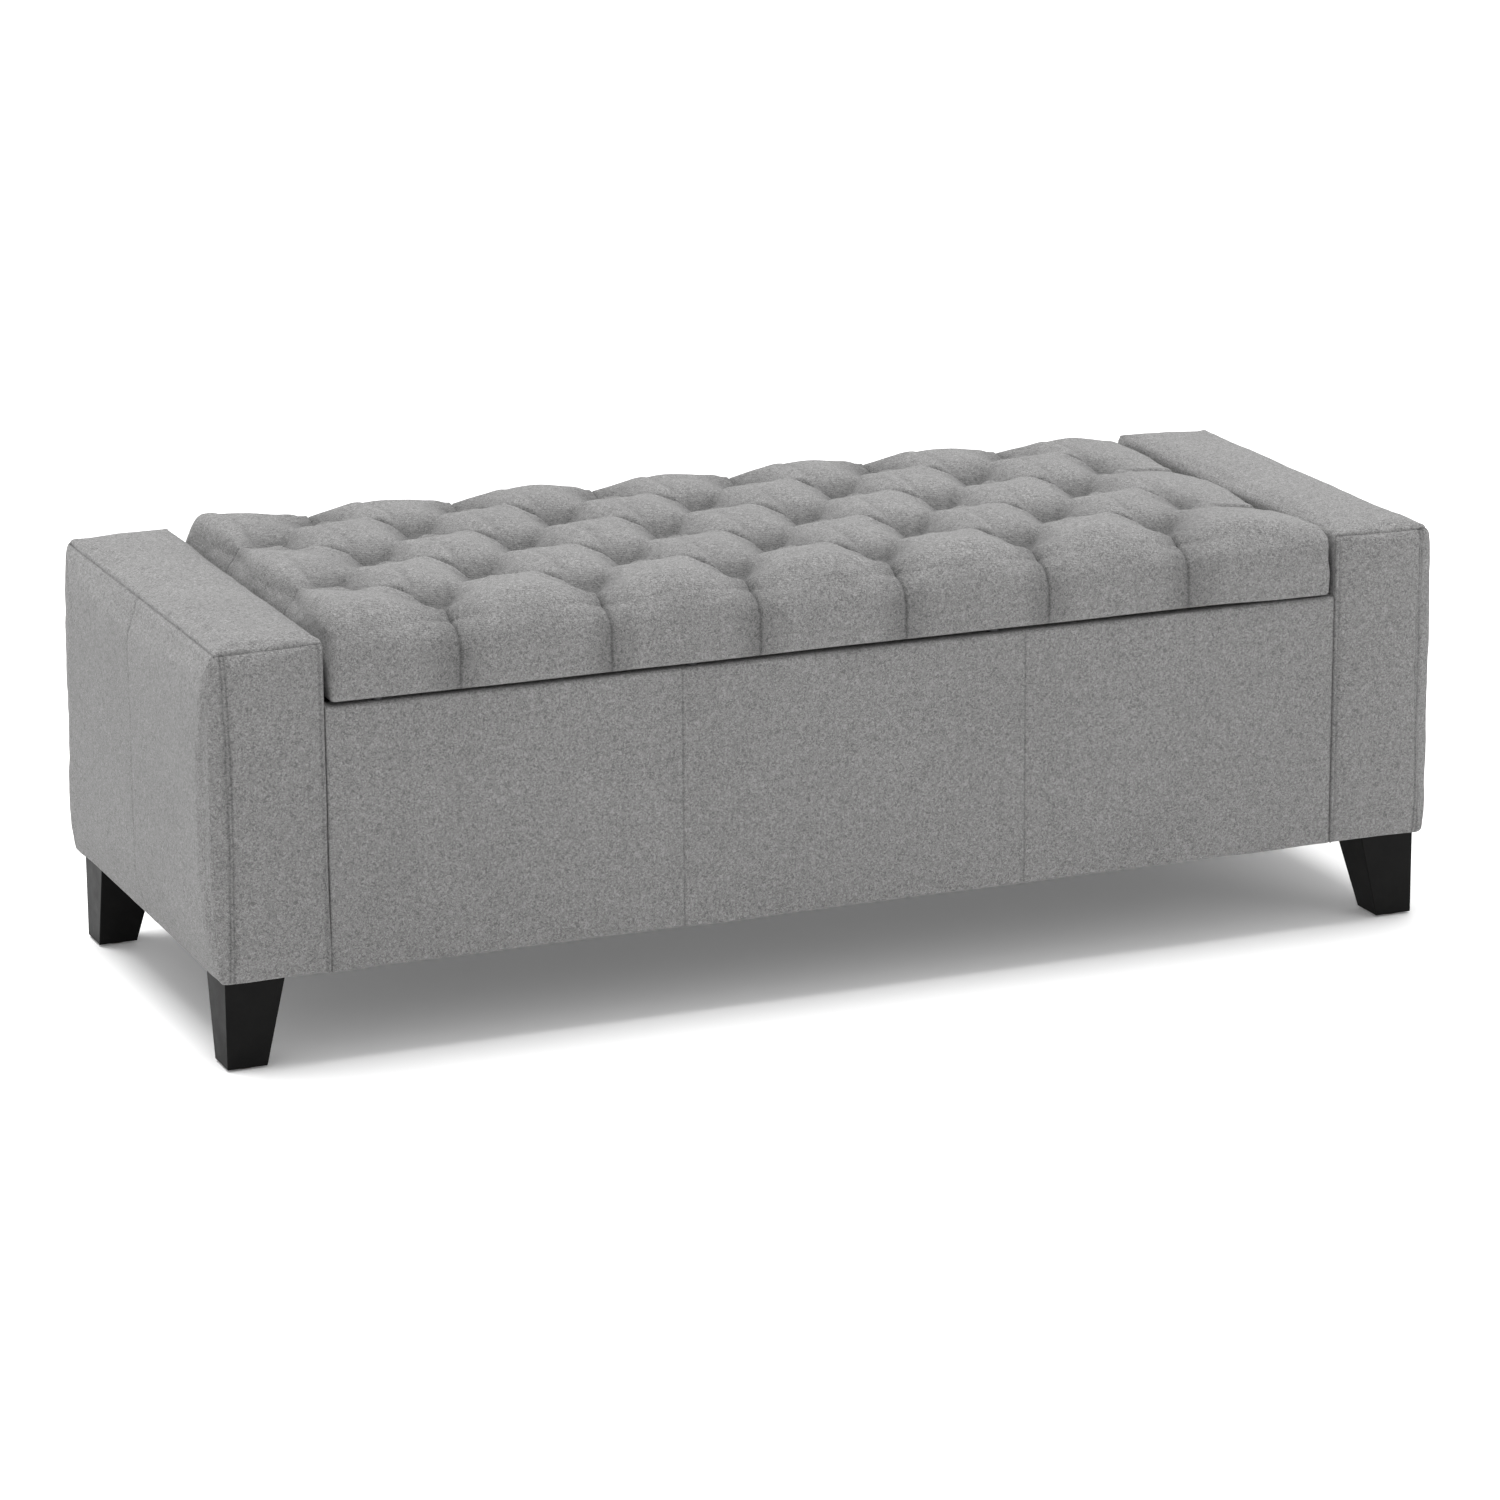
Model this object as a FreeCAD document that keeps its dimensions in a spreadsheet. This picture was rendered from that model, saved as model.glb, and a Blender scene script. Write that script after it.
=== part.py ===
"""Upholstered storage bench: two padded arm boxes, a storage box between them and a tufted, hinged lid.

Millimetres. +X runs along the bench to the right, +Y to the back, +Z up. The origin is on the floor at
the middle of the bench. The driving sizes are cells of the sheet "dims", and the pieces are bound to it.
"""
import FreeCAD, Part
import math
import os
import Sketcher

DRIVING = {
    # outer sizes
    "bench_length": 1290, "bench_depth": 496, "arm_height": 413, "arm_width": 110,
    "body_bottom": 90, "rim_height": 350, "lid_crown": 438, "back_inset": 9,
    # lid clearances, rounded edges and hems
    "lid_gap": 4, "lid_end_gap": 7, "lid_round": 15, "lid_corner": 16, "lid_hem": 40,
    "arm_round": 9, "hem": 30, "dust_inset": 12, "lining_gap": 1,
    # thicknesses
    "cloth": 1.2, "lining": 0.8, "board": 12, "lid_board_thick": 15, "floor_thick": 9,
    "thin_foam": 8, "arm_top_foam": 20, "batten": 18, "rail_deep": 20, "rail_high": 30,
    # seams of the three front panels
    "seam_left": -174, "seam_right": 191,
    # legs
    "leg_top": 60, "leg_foot": 40, "leg_inset_x": 6.6, "leg_inset_y": 11, "leg_edge": 1,
    "glide_thick": 2, "glide_radius": 15, "bolt_radius": 4, "bolt_reach": 45, "bolt_above": 6,
    "nut_radius": 5.5, "nut_deep": 10, "flange_radius": 11, "flange_thick": 1.2, "arm_screw_radius": 2.5,
    "arm_screw_long": 50, "arm_screw_end": 60, "stud_screw_spare": 2,
    # tufts: a diamond grid, with its middle a little left of and in front of the lid's
    "tuft_pitch_x": 154, "tuft_pitch_y": 93, "tuft_shift_x": -15, "tuft_shift_y": -5,
    "tuft_radius": 26, "tuft_tip": 3, "tuft_sink": 24, "tuft_cloth": 1.4,
    "twine_radius": 0.8, "twine_hole": 2.5, "washer_radius": 7.5, "washer_thick": 1,
    # hinges
    "hinge_spread": 380, "hinge_width": 60, "leaf_thick": 1.5, "leaf_deep": 25, "eye_radius": 4,
    "pin_radius": 1.5, "eye_gap": 0.3, "eye_clear": 0.2, "running_gap": 0.05,
    "screw_radius": 1.75, "screw_head": 3.4, "screw_long": 22, "screw_short": 13, "screw_side": 22,
    "screw_row": 7.2, "screw_row_deep": 19,
    # stays: each arm's pivot and its stud are equally far from the hinge axis
    "stay_reach": 130, "stay_lid_angle": 8, "stay_box_angle": 44, "stay_open": 80, "stay_thick": 2,
    "stay_half": 8, "stud_radius": 3, "slot_half": 3.25, "slot_spare": 0.8, "stay_wall_gap": 9,
    "stay_side_gap": 0.5, "boss_radius": 6, "rivet_head": 5, "rivet_head_thick": 1.5,
    "bracket_long": 40, "bracket_wide": 24, "ear_half": 9, "plate_half": 18, "bracket_screw": 12,
    # bumpers
    "bumper_radius": 6, "bumper_clear": 0.4, "bumper_out": 480, "bumper_in": 160, "bumper_back": 12,
    # how far a tool that cuts through a piece stands past its faces
    "overshoot": 1,
}
SIDES = (("left", -1), ("right", 1))
TUFT_ROWS = (6, 7, 6, 7, 6)
EYES = 5

doc = FreeCAD.newDocument("StorageBench")
sheet = doc.addObject("Spreadsheet::Sheet", "dims")
for row, (alias, value) in enumerate(DRIVING.items(), start=1):
    sheet.set(f"A{row}", alias)
    sheet.set(f"B{row}", str(value))
    sheet.setAlias(f"B{row}", alias)
doc.recompute()

pieces = []  # the objects whose shapes are the bench's nodes


def size(expression):
    """The number that an expression on the sheet stands for."""
    return float(sheet.evalExpression(expression))


# Places that several pieces share, as expressions on the sheet.
FRONT = "(-dims.bench_depth / 2)"
BACK = "(dims.bench_depth / 2)"
BOX_BACK = f"({BACK} - dims.back_inset)"
FRONT_BOARD = f"({FRONT} + dims.cloth + dims.thin_foam)"
FRONT_INSIDE = f"({FRONT_BOARD} + dims.board)"
BACK_INSIDE = f"({BOX_BACK} - dims.cloth - dims.board)"
ARM_BACK = f"({BACK} - dims.cloth)"
BASE = "(dims.body_bottom + dims.cloth)"
RIM = "(dims.rim_height - dims.cloth)"
FLOOR = f"({BASE} + dims.batten)"
FLOOR_TOP = f"({FLOOR} + dims.floor_thick)"
ARM_OUT = "(dims.bench_length / 2)"
ARM_IN = f"({ARM_OUT} - dims.arm_width)"
ARM_WALL = f"({ARM_IN} + dims.cloth)"
SIDE_BOARD = f"({ARM_OUT} - dims.cloth - dims.thin_foam)"
ARM_PAD = "(dims.arm_height - dims.cloth - dims.arm_top_foam)"
LID_END = f"({ARM_IN} - dims.lid_end_gap)"
LID_LOW = "(dims.rim_height + dims.lid_gap)"
LID_BOARD = f"({LID_LOW} + dims.cloth)"
LID_BOARD_TOP = f"({LID_BOARD} + dims.lid_board_thick)"
TUFT_BOTTOM = "(dims.lid_crown - dims.tuft_sink)"
AXIS_Y = f"({BOX_BACK} + dims.eye_radius + dims.eye_clear)"
AXIS_Z = "(dims.rim_height + dims.lid_gap / 2)"
LEG_TOP = "(dims.body_bottom - dims.lining)"
STAY_WALL = f"({ARM_IN} - dims.lining)"
STAY_PLANE = f"({STAY_WALL} - dims.stay_wall_gap)"
STAY_INNER = f"({STAY_PLANE} - dims.stay_thick)"
STAY_HEAD = f"({STAY_INNER} - dims.stay_side_gap)"
STAY_EAR = f"({STAY_HEAD} - dims.stay_thick)"
PIVOT_Y = f"({AXIS_Y} - dims.stay_reach * cos(dims.stay_lid_angle * 1deg))"
PIVOT_Z = f"({AXIS_Z} - dims.stay_reach * sin(dims.stay_lid_angle * 1deg))"
STUD_Y = f"({AXIS_Y} - dims.stay_reach * cos(dims.stay_box_angle * 1deg))"
STUD_Z = f"({AXIS_Z} - dims.stay_reach * sin(dims.stay_box_angle * 1deg))"
STAY_ANGLE = "((dims.stay_box_angle - dims.stay_lid_angle) / 2 * 1deg)"
STAY_SHORT = f"(2 * dims.stay_reach * sin({STAY_ANGLE}))"
STAY_LONG = f"(2 * dims.stay_reach * sin({STAY_ANGLE} + dims.stay_open / 2 * 1deg))"


def minus(expression):
    return f"(-{expression})"


def across(side, low, high):
    """A span along X on the right side of the bench, or its mirror image on the left."""
    return (low, high) if side > 0 else (minus(high), minus(low))


def both_ways(half):
    return minus(half), half


def around(middle, half):
    return f"({middle} - {half})", f"({middle} + {half})"


def keep(item, label):
    """Name an object as one of the bench's nodes."""
    item.Label = label
    pieces.append(item)
    return item


# ---- plain solids and booleans ----

def block(name, x, y, z):
    """A box between two places on each axis."""
    box = doc.addObject("Part::Box", name)
    for length, axis, (low, high) in zip(("Length", "Width", "Height"), "xyz", (x, y, z)):
        box.setExpression(length, f"{high} - {low}")
        box.setExpression(f"Placement.Base.{axis}", low)
    return box


TURN = {
    "x": FreeCAD.Rotation(FreeCAD.Vector(0, 1, 0), 90),
    "z": FreeCAD.Rotation(),
}


def rod(name, radius, x, y, z, axis="z"):
    """A cylinder on one axis: the place along that axis is a span, the other two are its centre."""
    cylinder = doc.addObject("Part::Cylinder", name)
    cylinder.Placement = FreeCAD.Placement(FreeCAD.Vector(), TURN[axis])
    cylinder.setExpression("Radius", radius)
    for letter, place in zip("xyz", (x, y, z)):
        if letter == axis:
            cylinder.setExpression("Height", f"{place[1]} - {place[0]}")
            place = place[0]
        cylinder.setExpression(f"Placement.Base.{letter}", place)
    return cylinder


def cone(name, low_radius, high_radius, x, y, z):
    """An upright cone over a span along Z."""
    made = doc.addObject("Part::Cone", name)
    made.setExpression("Radius1", low_radius)
    made.setExpression("Radius2", high_radius)
    made.setExpression("Height", f"{z[1]} - {z[0]}")
    for letter, place in zip("xyz", (x, y, z[0])):
        made.setExpression(f"Placement.Base.{letter}", place)
    return made


def fuse(name, items):
    made = doc.addObject("Part::MultiFuse", name)
    made.Shapes = items
    return made


def group(name, items):
    made = doc.addObject("Part::Compound", name)
    made.Links = items
    return made


def cut(name, base, *tools):
    made = doc.addObject("Part::Cut", name)
    made.Base = base
    made.Tool = tools[0] if len(tools) == 1 else fuse(f"{name}_tools", list(tools))
    return made


def common(name, first, second):
    made = doc.addObject("Part::Common", name)
    made.Base = first
    made.Tool = second
    return made


# ---- bodies drawn as sketches ----

def new_body(name):
    return doc.addObject("PartDesign::Body", name)


def sketch_on(body, plane, height=None):
    """An empty sketch on one of the body's own origin planes, or lifted off it."""
    made = body.newObject("Sketcher::SketchObject", f"{body.Name}_sketch")
    support = next(f for f in body.Origin.OriginFeatures if f.Role == plane)
    made.AttachmentSupport = [(support, "")]
    made.MapMode = "FlatFace"
    if height:
        made.setExpression("AttachmentOffset.Base.z", height)
    return made


def bind(sketch, constraint, expression):
    sketch.setExpression(f"Constraints[{sketch.addConstraint(constraint)}]", expression)


def pin_point(sketch, line, end, point):
    """Tie a point to two distances from the sketch's origin, or to its axes where they are zero."""
    for kind, axis_line, expression in (("DistanceX", -2, point[0]), ("DistanceY", -1, point[1])):
        distance = size(expression)
        if abs(distance) < 1e-9:
            sketch.addConstraint(Sketcher.Constraint("PointOnObject", line, end, axis_line))
        else:
            bind(sketch, Sketcher.Constraint(kind, -1, 1, line, end, distance), expression)


def outline(sketch, points):
    """A closed outline of straight lines through points given as pairs of expressions."""
    spots = [FreeCAD.Vector(size(u), size(v), 0) for u, v in points]
    first = sketch.GeometryCount
    count = len(spots)
    for i, spot in enumerate(spots):
        sketch.addGeometry(Part.LineSegment(spot, spots[(i + 1) % count]))
    for i in range(count):
        joined = Sketcher.Constraint("Coincident", first + i, 2, first + (i + 1) % count, 1)
        sketch.addConstraint(joined)
    for i, point in enumerate(points):
        pin_point(sketch, first + i, 1, point)


def rectangle(sketch, width, height):
    outline(sketch, [("0", "0"), (width, "0"), (width, height), ("0", height)])


def circle(sketch, radius, centre=("0", "0")):
    spot = FreeCAD.Vector(size(centre[0]), size(centre[1]), 0)
    line = sketch.addGeometry(Part.Circle(spot, FreeCAD.Vector(0, 0, 1), size(radius)))
    bind(sketch, Sketcher.Constraint("Radius", line, size(radius)), radius)
    pin_point(sketch, line, 3, centre)


def stadium(sketch, start, end, radius):
    """A slot outline along the sketch's X axis, with its round ends centred on start and end."""
    up = FreeCAD.Vector(0, 0, 1)
    near, far, half = FreeCAD.Vector(size(start), 0, 0), FreeCAD.Vector(size(end), 0, 0), size(radius)
    side = FreeCAD.Vector(0, half, 0)
    first = sketch.GeometryCount
    sketch.addGeometry(Part.ArcOfCircle(Part.Circle(near, up, half), math.pi / 2, 3 * math.pi / 2))
    sketch.addGeometry(Part.LineSegment(near - side, far - side))
    sketch.addGeometry(Part.ArcOfCircle(Part.Circle(far, up, half), -math.pi / 2, math.pi / 2))
    sketch.addGeometry(Part.LineSegment(far + side, near + side))
    for i in range(4):
        after = first + (i + 1) % 4
        sketch.addConstraint(Sketcher.Constraint("Tangent", first + i, 2, after, 1))
    pin_point(sketch, first, 3, (start, "0"))
    pin_point(sketch, first + 2, 3, (end, "0"))
    bind(sketch, Sketcher.Constraint("Radius", first, half), radius)


def pad(body, sketch, length):
    made = body.newObject("PartDesign::Pad", f"{body.Name}_pad")
    made.Profile = sketch
    made.setExpression("Length", length)
    sketch.Visibility = False
    return made


def pocket(body, sketch, length, reverse=False):
    made = body.newObject("PartDesign::Pocket", f"{body.Name}_pocket")
    made.Profile = sketch
    made.Reversed = reverse
    made.setExpression("Length", length)
    return made


def fillet(body, base, radius, wanted):
    """Round the edges of a feature whose middles pass the test."""
    doc.recompute()
    names = [f"Edge{i}" for i, e in enumerate(base.Shape.Edges, start=1) if wanted(e.CenterOfMass)]
    made = body.newObject("PartDesign::Fillet", f"{body.Name}_fillet")
    made.Base = (base, names)
    made.setExpression("Radius", radius)
    return made


def near(value, target):
    return abs(value - target) < 0.01


def place(item, x, y, z, rotation=None):
    if rotation:
        item.Placement = FreeCAD.Placement(FreeCAD.Vector(), rotation)
    for letter, expression in zip("xyz", (x, y, z)):
        item.setExpression(f"Placement.Base.{letter}", expression)
    return item


def padded_block(name, x, y, z):
    """A body for a box that is about to be rounded, with its base corner at the low places."""
    body = new_body(name)
    sketch = sketch_on(body, "XY_Plane")
    rectangle(sketch, f"({x[1]} - {x[0]})", f"({y[1]} - {y[0]})")
    solid = pad(body, sketch, f"{z[1]} - {z[0]}")
    place(body, x[0], y[0], z[0])
    return body, solid


# ---- the storage box ----

def storage_box():
    width = both_ways(ARM_IN)
    walls = (BASE, RIM)
    keep(block("FrontBoard", width, (FRONT_BOARD, FRONT_INSIDE), walls), "front_board")
    keep(block("BackBoard", width, (BACK_INSIDE, f"({BOX_BACK} - dims.cloth)"), walls), "back_board")
    rail_front = f"({BACK_INSIDE} - dims.rail_deep)"
    rail_low = f"({RIM} - dims.rail_high)"
    rail = keep(block("HingeRail", width, (rail_front, BACK_INSIDE), (rail_low, RIM)), "hinge_rail")
    inside = (FRONT_INSIDE, BACK_INSIDE)
    keep(block("FloorBoard", width, inside, (FLOOR, FLOOR_TOP)), "floor_board")

    front_batten = f"({FRONT_INSIDE} + dims.batten)"
    back_batten = f"({BACK_INSIDE} - dims.batten)"
    low = (BASE, FLOOR)
    keep(block("BattenFront", width, (FRONT_INSIDE, front_batten), low), "floor_batten_front")
    keep(block("BattenBack", width, (back_batten, BACK_INSIDE), low), "floor_batten_back")
    centre = both_ways("(dims.batten / 2)")
    keep(block("BattenCentre", centre, (front_batten, back_batten), low), "floor_batten_centre")

    # The lining is an open cloth box that also goes round the hinge rail.
    cloth = "dims.lining"
    above = f"({RIM} + dims.overshoot)"
    skin = cut("LiningOuter", block("LiningBox", width, inside, (FLOOR_TOP, RIM)), rail)
    hollow = block("LiningHollow", both_ways(f"({ARM_IN} - {cloth})"),
                   (f"({FRONT_INSIDE} + {cloth})", f"({BACK_INSIDE} - {cloth})"),
                   (f"({FLOOR_TOP} + {cloth})", above))
    round_rail = block("LiningRail", width, (f"({rail_front} - {cloth})", BACK_INSIDE),
                       (f"({rail_low} - {cloth})", above))
    keep(cut("Lining", skin, cut("LiningSpace", hollow, round_rail)), "compartment_lining")


def front_and_back():
    foam_y = (f"({FRONT} + dims.cloth)", FRONT_BOARD)
    keep(block("FrontFoam", both_ways(ARM_IN), foam_y, (BASE, RIM)), "front_foam")
    rim_wrap = f"({FRONT_INSIDE} - {FRONT})"
    panels = (
        ("left", minus(ARM_IN), "dims.seam_left"),
        ("centre", "dims.seam_left", "dims.seam_right"),
        ("right", "dims.seam_right", ARM_IN),
    )
    for name, low, high in panels:
        wrap(f"front_cover_{name}", low, high, FRONT, rim_wrap, 1)
    rail_wrap = f"({BOX_BACK} - {BACK_INSIDE} + dims.rail_deep)"
    wrap("back_cover", minus(ARM_IN), ARM_IN, BOX_BACK, rail_wrap, -1)


def wrap(label, low, high, face, rim_wrap, inward):
    """A cloth panel over the front or back: its face, the wrap over the rim and the hem underneath."""
    body = new_body(label)
    sketch = sketch_on(body, "YZ_Plane")
    height = "(dims.rim_height - dims.body_bottom)"
    cloth = "dims.cloth"
    points = [("0", "0"), ("dims.hem", "0"), ("dims.hem", cloth), (cloth, cloth),
              (cloth, f"({height} - {cloth})"), (rim_wrap, f"({height} - {cloth})"),
              (rim_wrap, height), ("0", height)]
    if inward < 0:
        points = [(u if u == "0" else minus(u), v) for u, v in points]
    outline(sketch, points)
    pad(body, sketch, f"{high} - {low}")
    keep(place(body, low, face, "dims.body_bottom"), label)


def underside():
    holes = [rod(f"DustHole{i}", "dims.bolt_radius", x, y, (f"({LEG_TOP} - dims.overshoot)", BASE))
             for i, (x, y) in enumerate(leg_axes())]
    sheet_x = both_ways(f"({ARM_OUT} - dims.dust_inset)")
    sheet_y = both_ways(f"({BACK} - dims.dust_inset)")
    cloth = block("DustSheet", sheet_x, sheet_y, (LEG_TOP, "dims.body_bottom"))
    keep(cut("DustCover", cloth, *holes), "dust_cover")


# ---- the arms ----

def arm_solid(name, side, inset):
    """The arm's rounded outer form, or the same form inside its cloth."""
    x = across(side, f"({ARM_IN} + {inset})", f"({ARM_OUT} - {inset})")
    y = (f"({FRONT} + {inset})", f"({BACK} - {inset})")
    z = (f"(dims.body_bottom + {inset})", f"(dims.arm_height - {inset})")
    body, solid = padded_block(name, x, y, z)
    high = size(f"{z[1]} - {z[0]}")
    outer = size(f"{x[1]} - {x[0]}") if side > 0 else 0

    def soft(middle):
        return near(middle.z, high) or (near(middle.x, outer) and near(middle.z, high / 2))

    fillet(body, solid, f"dims.arm_round - {inset}", soft)
    return body


def arm(name, side):
    title = name.title()
    form = arm_solid(f"{title}ArmForm", side, "0")
    inner = arm_solid(f"{title}ArmInner", side, "dims.cloth")

    def span(low, high):
        return across(side, low, high)

    # cloth: hollow, with a hem under the arm
    window = block(f"{title}ArmWindow", span(f"({ARM_IN} + dims.hem)", f"({ARM_OUT} - dims.hem)"),
                   both_ways(f"({BACK} - dims.hem)"),
                   ("(dims.body_bottom - dims.overshoot)", f"({BASE} + dims.overshoot)"))
    keep(cut(f"{title}ArmCover", form, inner, window), f"{name}_arm_cover")

    # foam: a thick pad on top, thin pads on the outer side and the front
    cloth_front, cloth_side = f"({FRONT} + dims.cloth)", f"({ARM_OUT} - dims.cloth)"
    foams = (
        ("top", span(ARM_WALL, cloth_side), (cloth_front, ARM_BACK), (ARM_PAD, "dims.arm_height")),
        ("side", span(SIDE_BOARD, cloth_side), (cloth_front, ARM_BACK), (BASE, ARM_PAD)),
        ("front", span(ARM_WALL, SIDE_BOARD), (cloth_front, FRONT_BOARD), (BASE, ARM_PAD)),
    )
    for pad_name, x, y, z in foams:
        raw = block(f"{title}Arm{pad_name.title()}Slab", x, y, z)
        keep(common(f"{title}Arm{pad_name.title()}Foam", raw, inner), f"{name}_arm_{pad_name}_foam")

    # boards: walls carry the top board, and the base board sits between the walls
    wall_in = (ARM_WALL, f"({ARM_WALL} + dims.board)")
    wall_out = (f"({SIDE_BOARD} - dims.board)", SIDE_BOARD)
    between = (wall_in[1], wall_out[0])
    deep = (FRONT_BOARD, ARM_BACK)
    walls = (BASE, f"({ARM_PAD} - dims.board)")
    inside = (FRONT_INSIDE, f"({ARM_BACK} - dims.board)")
    boards = (
        ("inner", wall_in, deep, walls),
        ("outer", wall_out, deep, walls),
        ("front", between, (FRONT_BOARD, FRONT_INSIDE), walls),
        ("back", between, (inside[1], ARM_BACK), walls),
        ("top", (ARM_WALL, SIDE_BOARD), deep, (walls[1], ARM_PAD)),
    )
    for board_name, x, y, z in boards:
        board = block(f"{title}Arm{board_name.title()}Board", span(*x), y, z)
        keep(board, f"{name}_arm_{board_name}_board")
    base = block(f"{title}ArmBase", span(*between), inside, (BASE, f"({BASE} + dims.board)"))
    through = (f"({BASE} - dims.overshoot)", f"({BASE} + dims.board + dims.overshoot)")
    holes = [rod(f"{title}NutHole{i}", "dims.nut_radius", x, y, through)
             for i, (x, y) in enumerate(leg_axes()) if size(x) * side > 0]
    keep(cut(f"{title}ArmBaseBoard", base, *holes), f"{name}_arm_base_board")


def arm_screws():
    """Four long screws hold each arm's inner wall to the ends of the box's front and back boards."""
    start = f"({ARM_WALL} + dims.board)"
    tip = f"({start} - dims.arm_screw_long)"
    front_y = f"({FRONT_BOARD} + dims.board / 2)"
    back_y = f"({BACK_INSIDE} + dims.board / 2)"
    heights = (f"({BASE} + dims.arm_screw_end)", f"({RIM} - dims.arm_screw_end)")
    items = [rod("ArmScrew", "dims.arm_screw_radius", across(side, tip, start), y, z, axis="x")
             for _, side in SIDES for y in (front_y, back_y) for z in heights]
    keep(group("ArmScrews", items), "arm_screws")


# ---- the legs ----

LEG_X = f"({ARM_OUT} - dims.leg_inset_x)"
LEG_Y = f"({BACK} - dims.leg_inset_y)"


def leg_axes():
    """The centres of the four leg tops, where the hanger bolts stand."""
    x = f"({LEG_X} - dims.leg_top / 2)"
    y = f"({LEG_Y} - dims.leg_top / 2)"
    return [(minus(x), minus(y)), (x, minus(y)), (x, y), (minus(x), y)]


def leg(label, x, y, quarter_turns):
    """A square leg whose two outer faces stand upright while the two inner ones taper to the foot."""
    body = new_body(label)
    taper = body.newObject("PartDesign::AdditiveWedge", f"{label}_taper")
    for corner in ("Xmin", "Zmin", "X2min", "Z2min"):
        setattr(taper, corner, 0)
    taper.setExpression("Ymin", "dims.glide_thick")
    taper.setExpression("Ymax", LEG_TOP)
    for corner in ("Xmax", "Zmax"):
        taper.setExpression(corner, "dims.leg_foot")
    for corner in ("X2max", "Z2max"):
        taper.setExpression(corner, "dims.leg_top")
    taper.Placement = FreeCAD.Placement(FreeCAD.Vector(), FreeCAD.Rotation(FreeCAD.Vector(1, 0, 0), 90))
    height = size(LEG_TOP)
    eased = fillet(body, taper, "dims.leg_edge", lambda middle: not near(middle.z, height))
    doc.recompute()
    bore = sketch_on(body, "XY_Plane", LEG_TOP)
    circle(bore, "dims.bolt_radius", ("(dims.leg_top / 2)", "(-dims.leg_top / 2)"))
    drilled = pocket(body, bore, "dims.bolt_reach")
    doc.recompute()
    assert 0 < drilled.Shape.Volume < eased.Shape.Volume, "the bolt hole missed the leg"
    keep(place(body, x, y, "0", FreeCAD.Rotation(FreeCAD.Vector(0, 0, 1), 90 * quarter_turns)), label)


def legs():
    leg("leg_rear_left", minus(LEG_X), LEG_Y, 0)
    leg("leg_front_left", minus(LEG_X), minus(LEG_Y), 1)
    leg("leg_front_right", LEG_X, minus(LEG_Y), 2)
    leg("leg_rear_right", LEG_X, LEG_Y, 3)
    base_top = f"({BASE} + dims.board)"
    bolts, nuts, glides = [], [], []
    foot_shift = "((dims.leg_top - dims.leg_foot) / 2)"
    for x, y in leg_axes():
        bolt_z = (f"({LEG_TOP} - dims.bolt_reach)", f"({base_top} + dims.bolt_above)")
        bolts.append(rod("LegBolt", "dims.bolt_radius", x, y, bolt_z))
        nut_z = (f"({base_top} - dims.nut_deep)", f"({base_top} + dims.flange_thick)")
        barrel = rod("NutBarrel", "dims.nut_radius", x, y, nut_z)
        flange = rod("NutFlange", "dims.flange_radius", x, y, (base_top, nut_z[1]))
        thread_z = (f"({BASE} - dims.overshoot)", f"({nut_z[1]} + dims.overshoot)")
        thread = rod("NutThread", "dims.bolt_radius", x, y, thread_z)
        nuts.append(cut("Nut", fuse("NutSolid", [barrel, flange]), thread))
        outward = [f"({axis} {'+' if size(axis) > 0 else '-'} {foot_shift})" for axis in (x, y)]
        glides.append(rod("Glide", "dims.glide_radius", *outward, ("0", "dims.glide_thick")))
    keep(group("LegBolts", bolts), "leg_bolts")
    keep(group("LegNuts", nuts), "leg_tee_nuts")
    keep(group("LegGlides", glides), "leg_glides")


# ---- the lid ----

def tuft_places():
    """The tufts' diamond grid: rows of six and seven, each row half a pitch off the next."""
    middle = (len(TUFT_ROWS) - 1) / 2
    lid_middle = f"(({FRONT} + {BOX_BACK}) / 2)"
    for row, count in enumerate(TUFT_ROWS):
        y = f"({lid_middle} + dims.tuft_shift_y + {row - middle} * dims.tuft_pitch_y)"
        for column in range(count):
            yield f"(dims.tuft_shift_x + {column - (count - 1) / 2} * dims.tuft_pitch_x)", y


def lid_form(name, inset, tip):
    """The lid's cushion form with its tufts sunk in, or the same form inside its cloth."""
    x = both_ways(f"({LID_END} - {inset})")
    y = (f"({FRONT} + {inset})", f"({BOX_BACK} - {inset})")
    z = (f"({LID_LOW} + {inset})", f"(dims.lid_crown - {inset})")
    body, solid = padded_block(name, x, y, z)
    high = size(f"{z[1]} - {z[0]}")
    corners = fillet(body, solid, f"dims.lid_corner - {inset}", lambda middle: near(middle.z, high / 2))
    fillet(body, corners, f"dims.lid_round - {inset}", lambda middle: near(middle.z, high))
    rise = "(dims.tuft_sink + dims.overshoot)"
    mouth = f"(dims.tuft_tip + {rise} * (dims.tuft_radius - dims.tuft_tip) / dims.tuft_sink)"
    dimples = [cone(f"{name}Dimple", "dims.tuft_tip", mouth, *spot, (tip, f"({tip} + {rise})"))
               for spot in tuft_places()]
    return body, cut(f"{name}Tufted", body, group(f"{name}Dimples", dimples))


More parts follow.
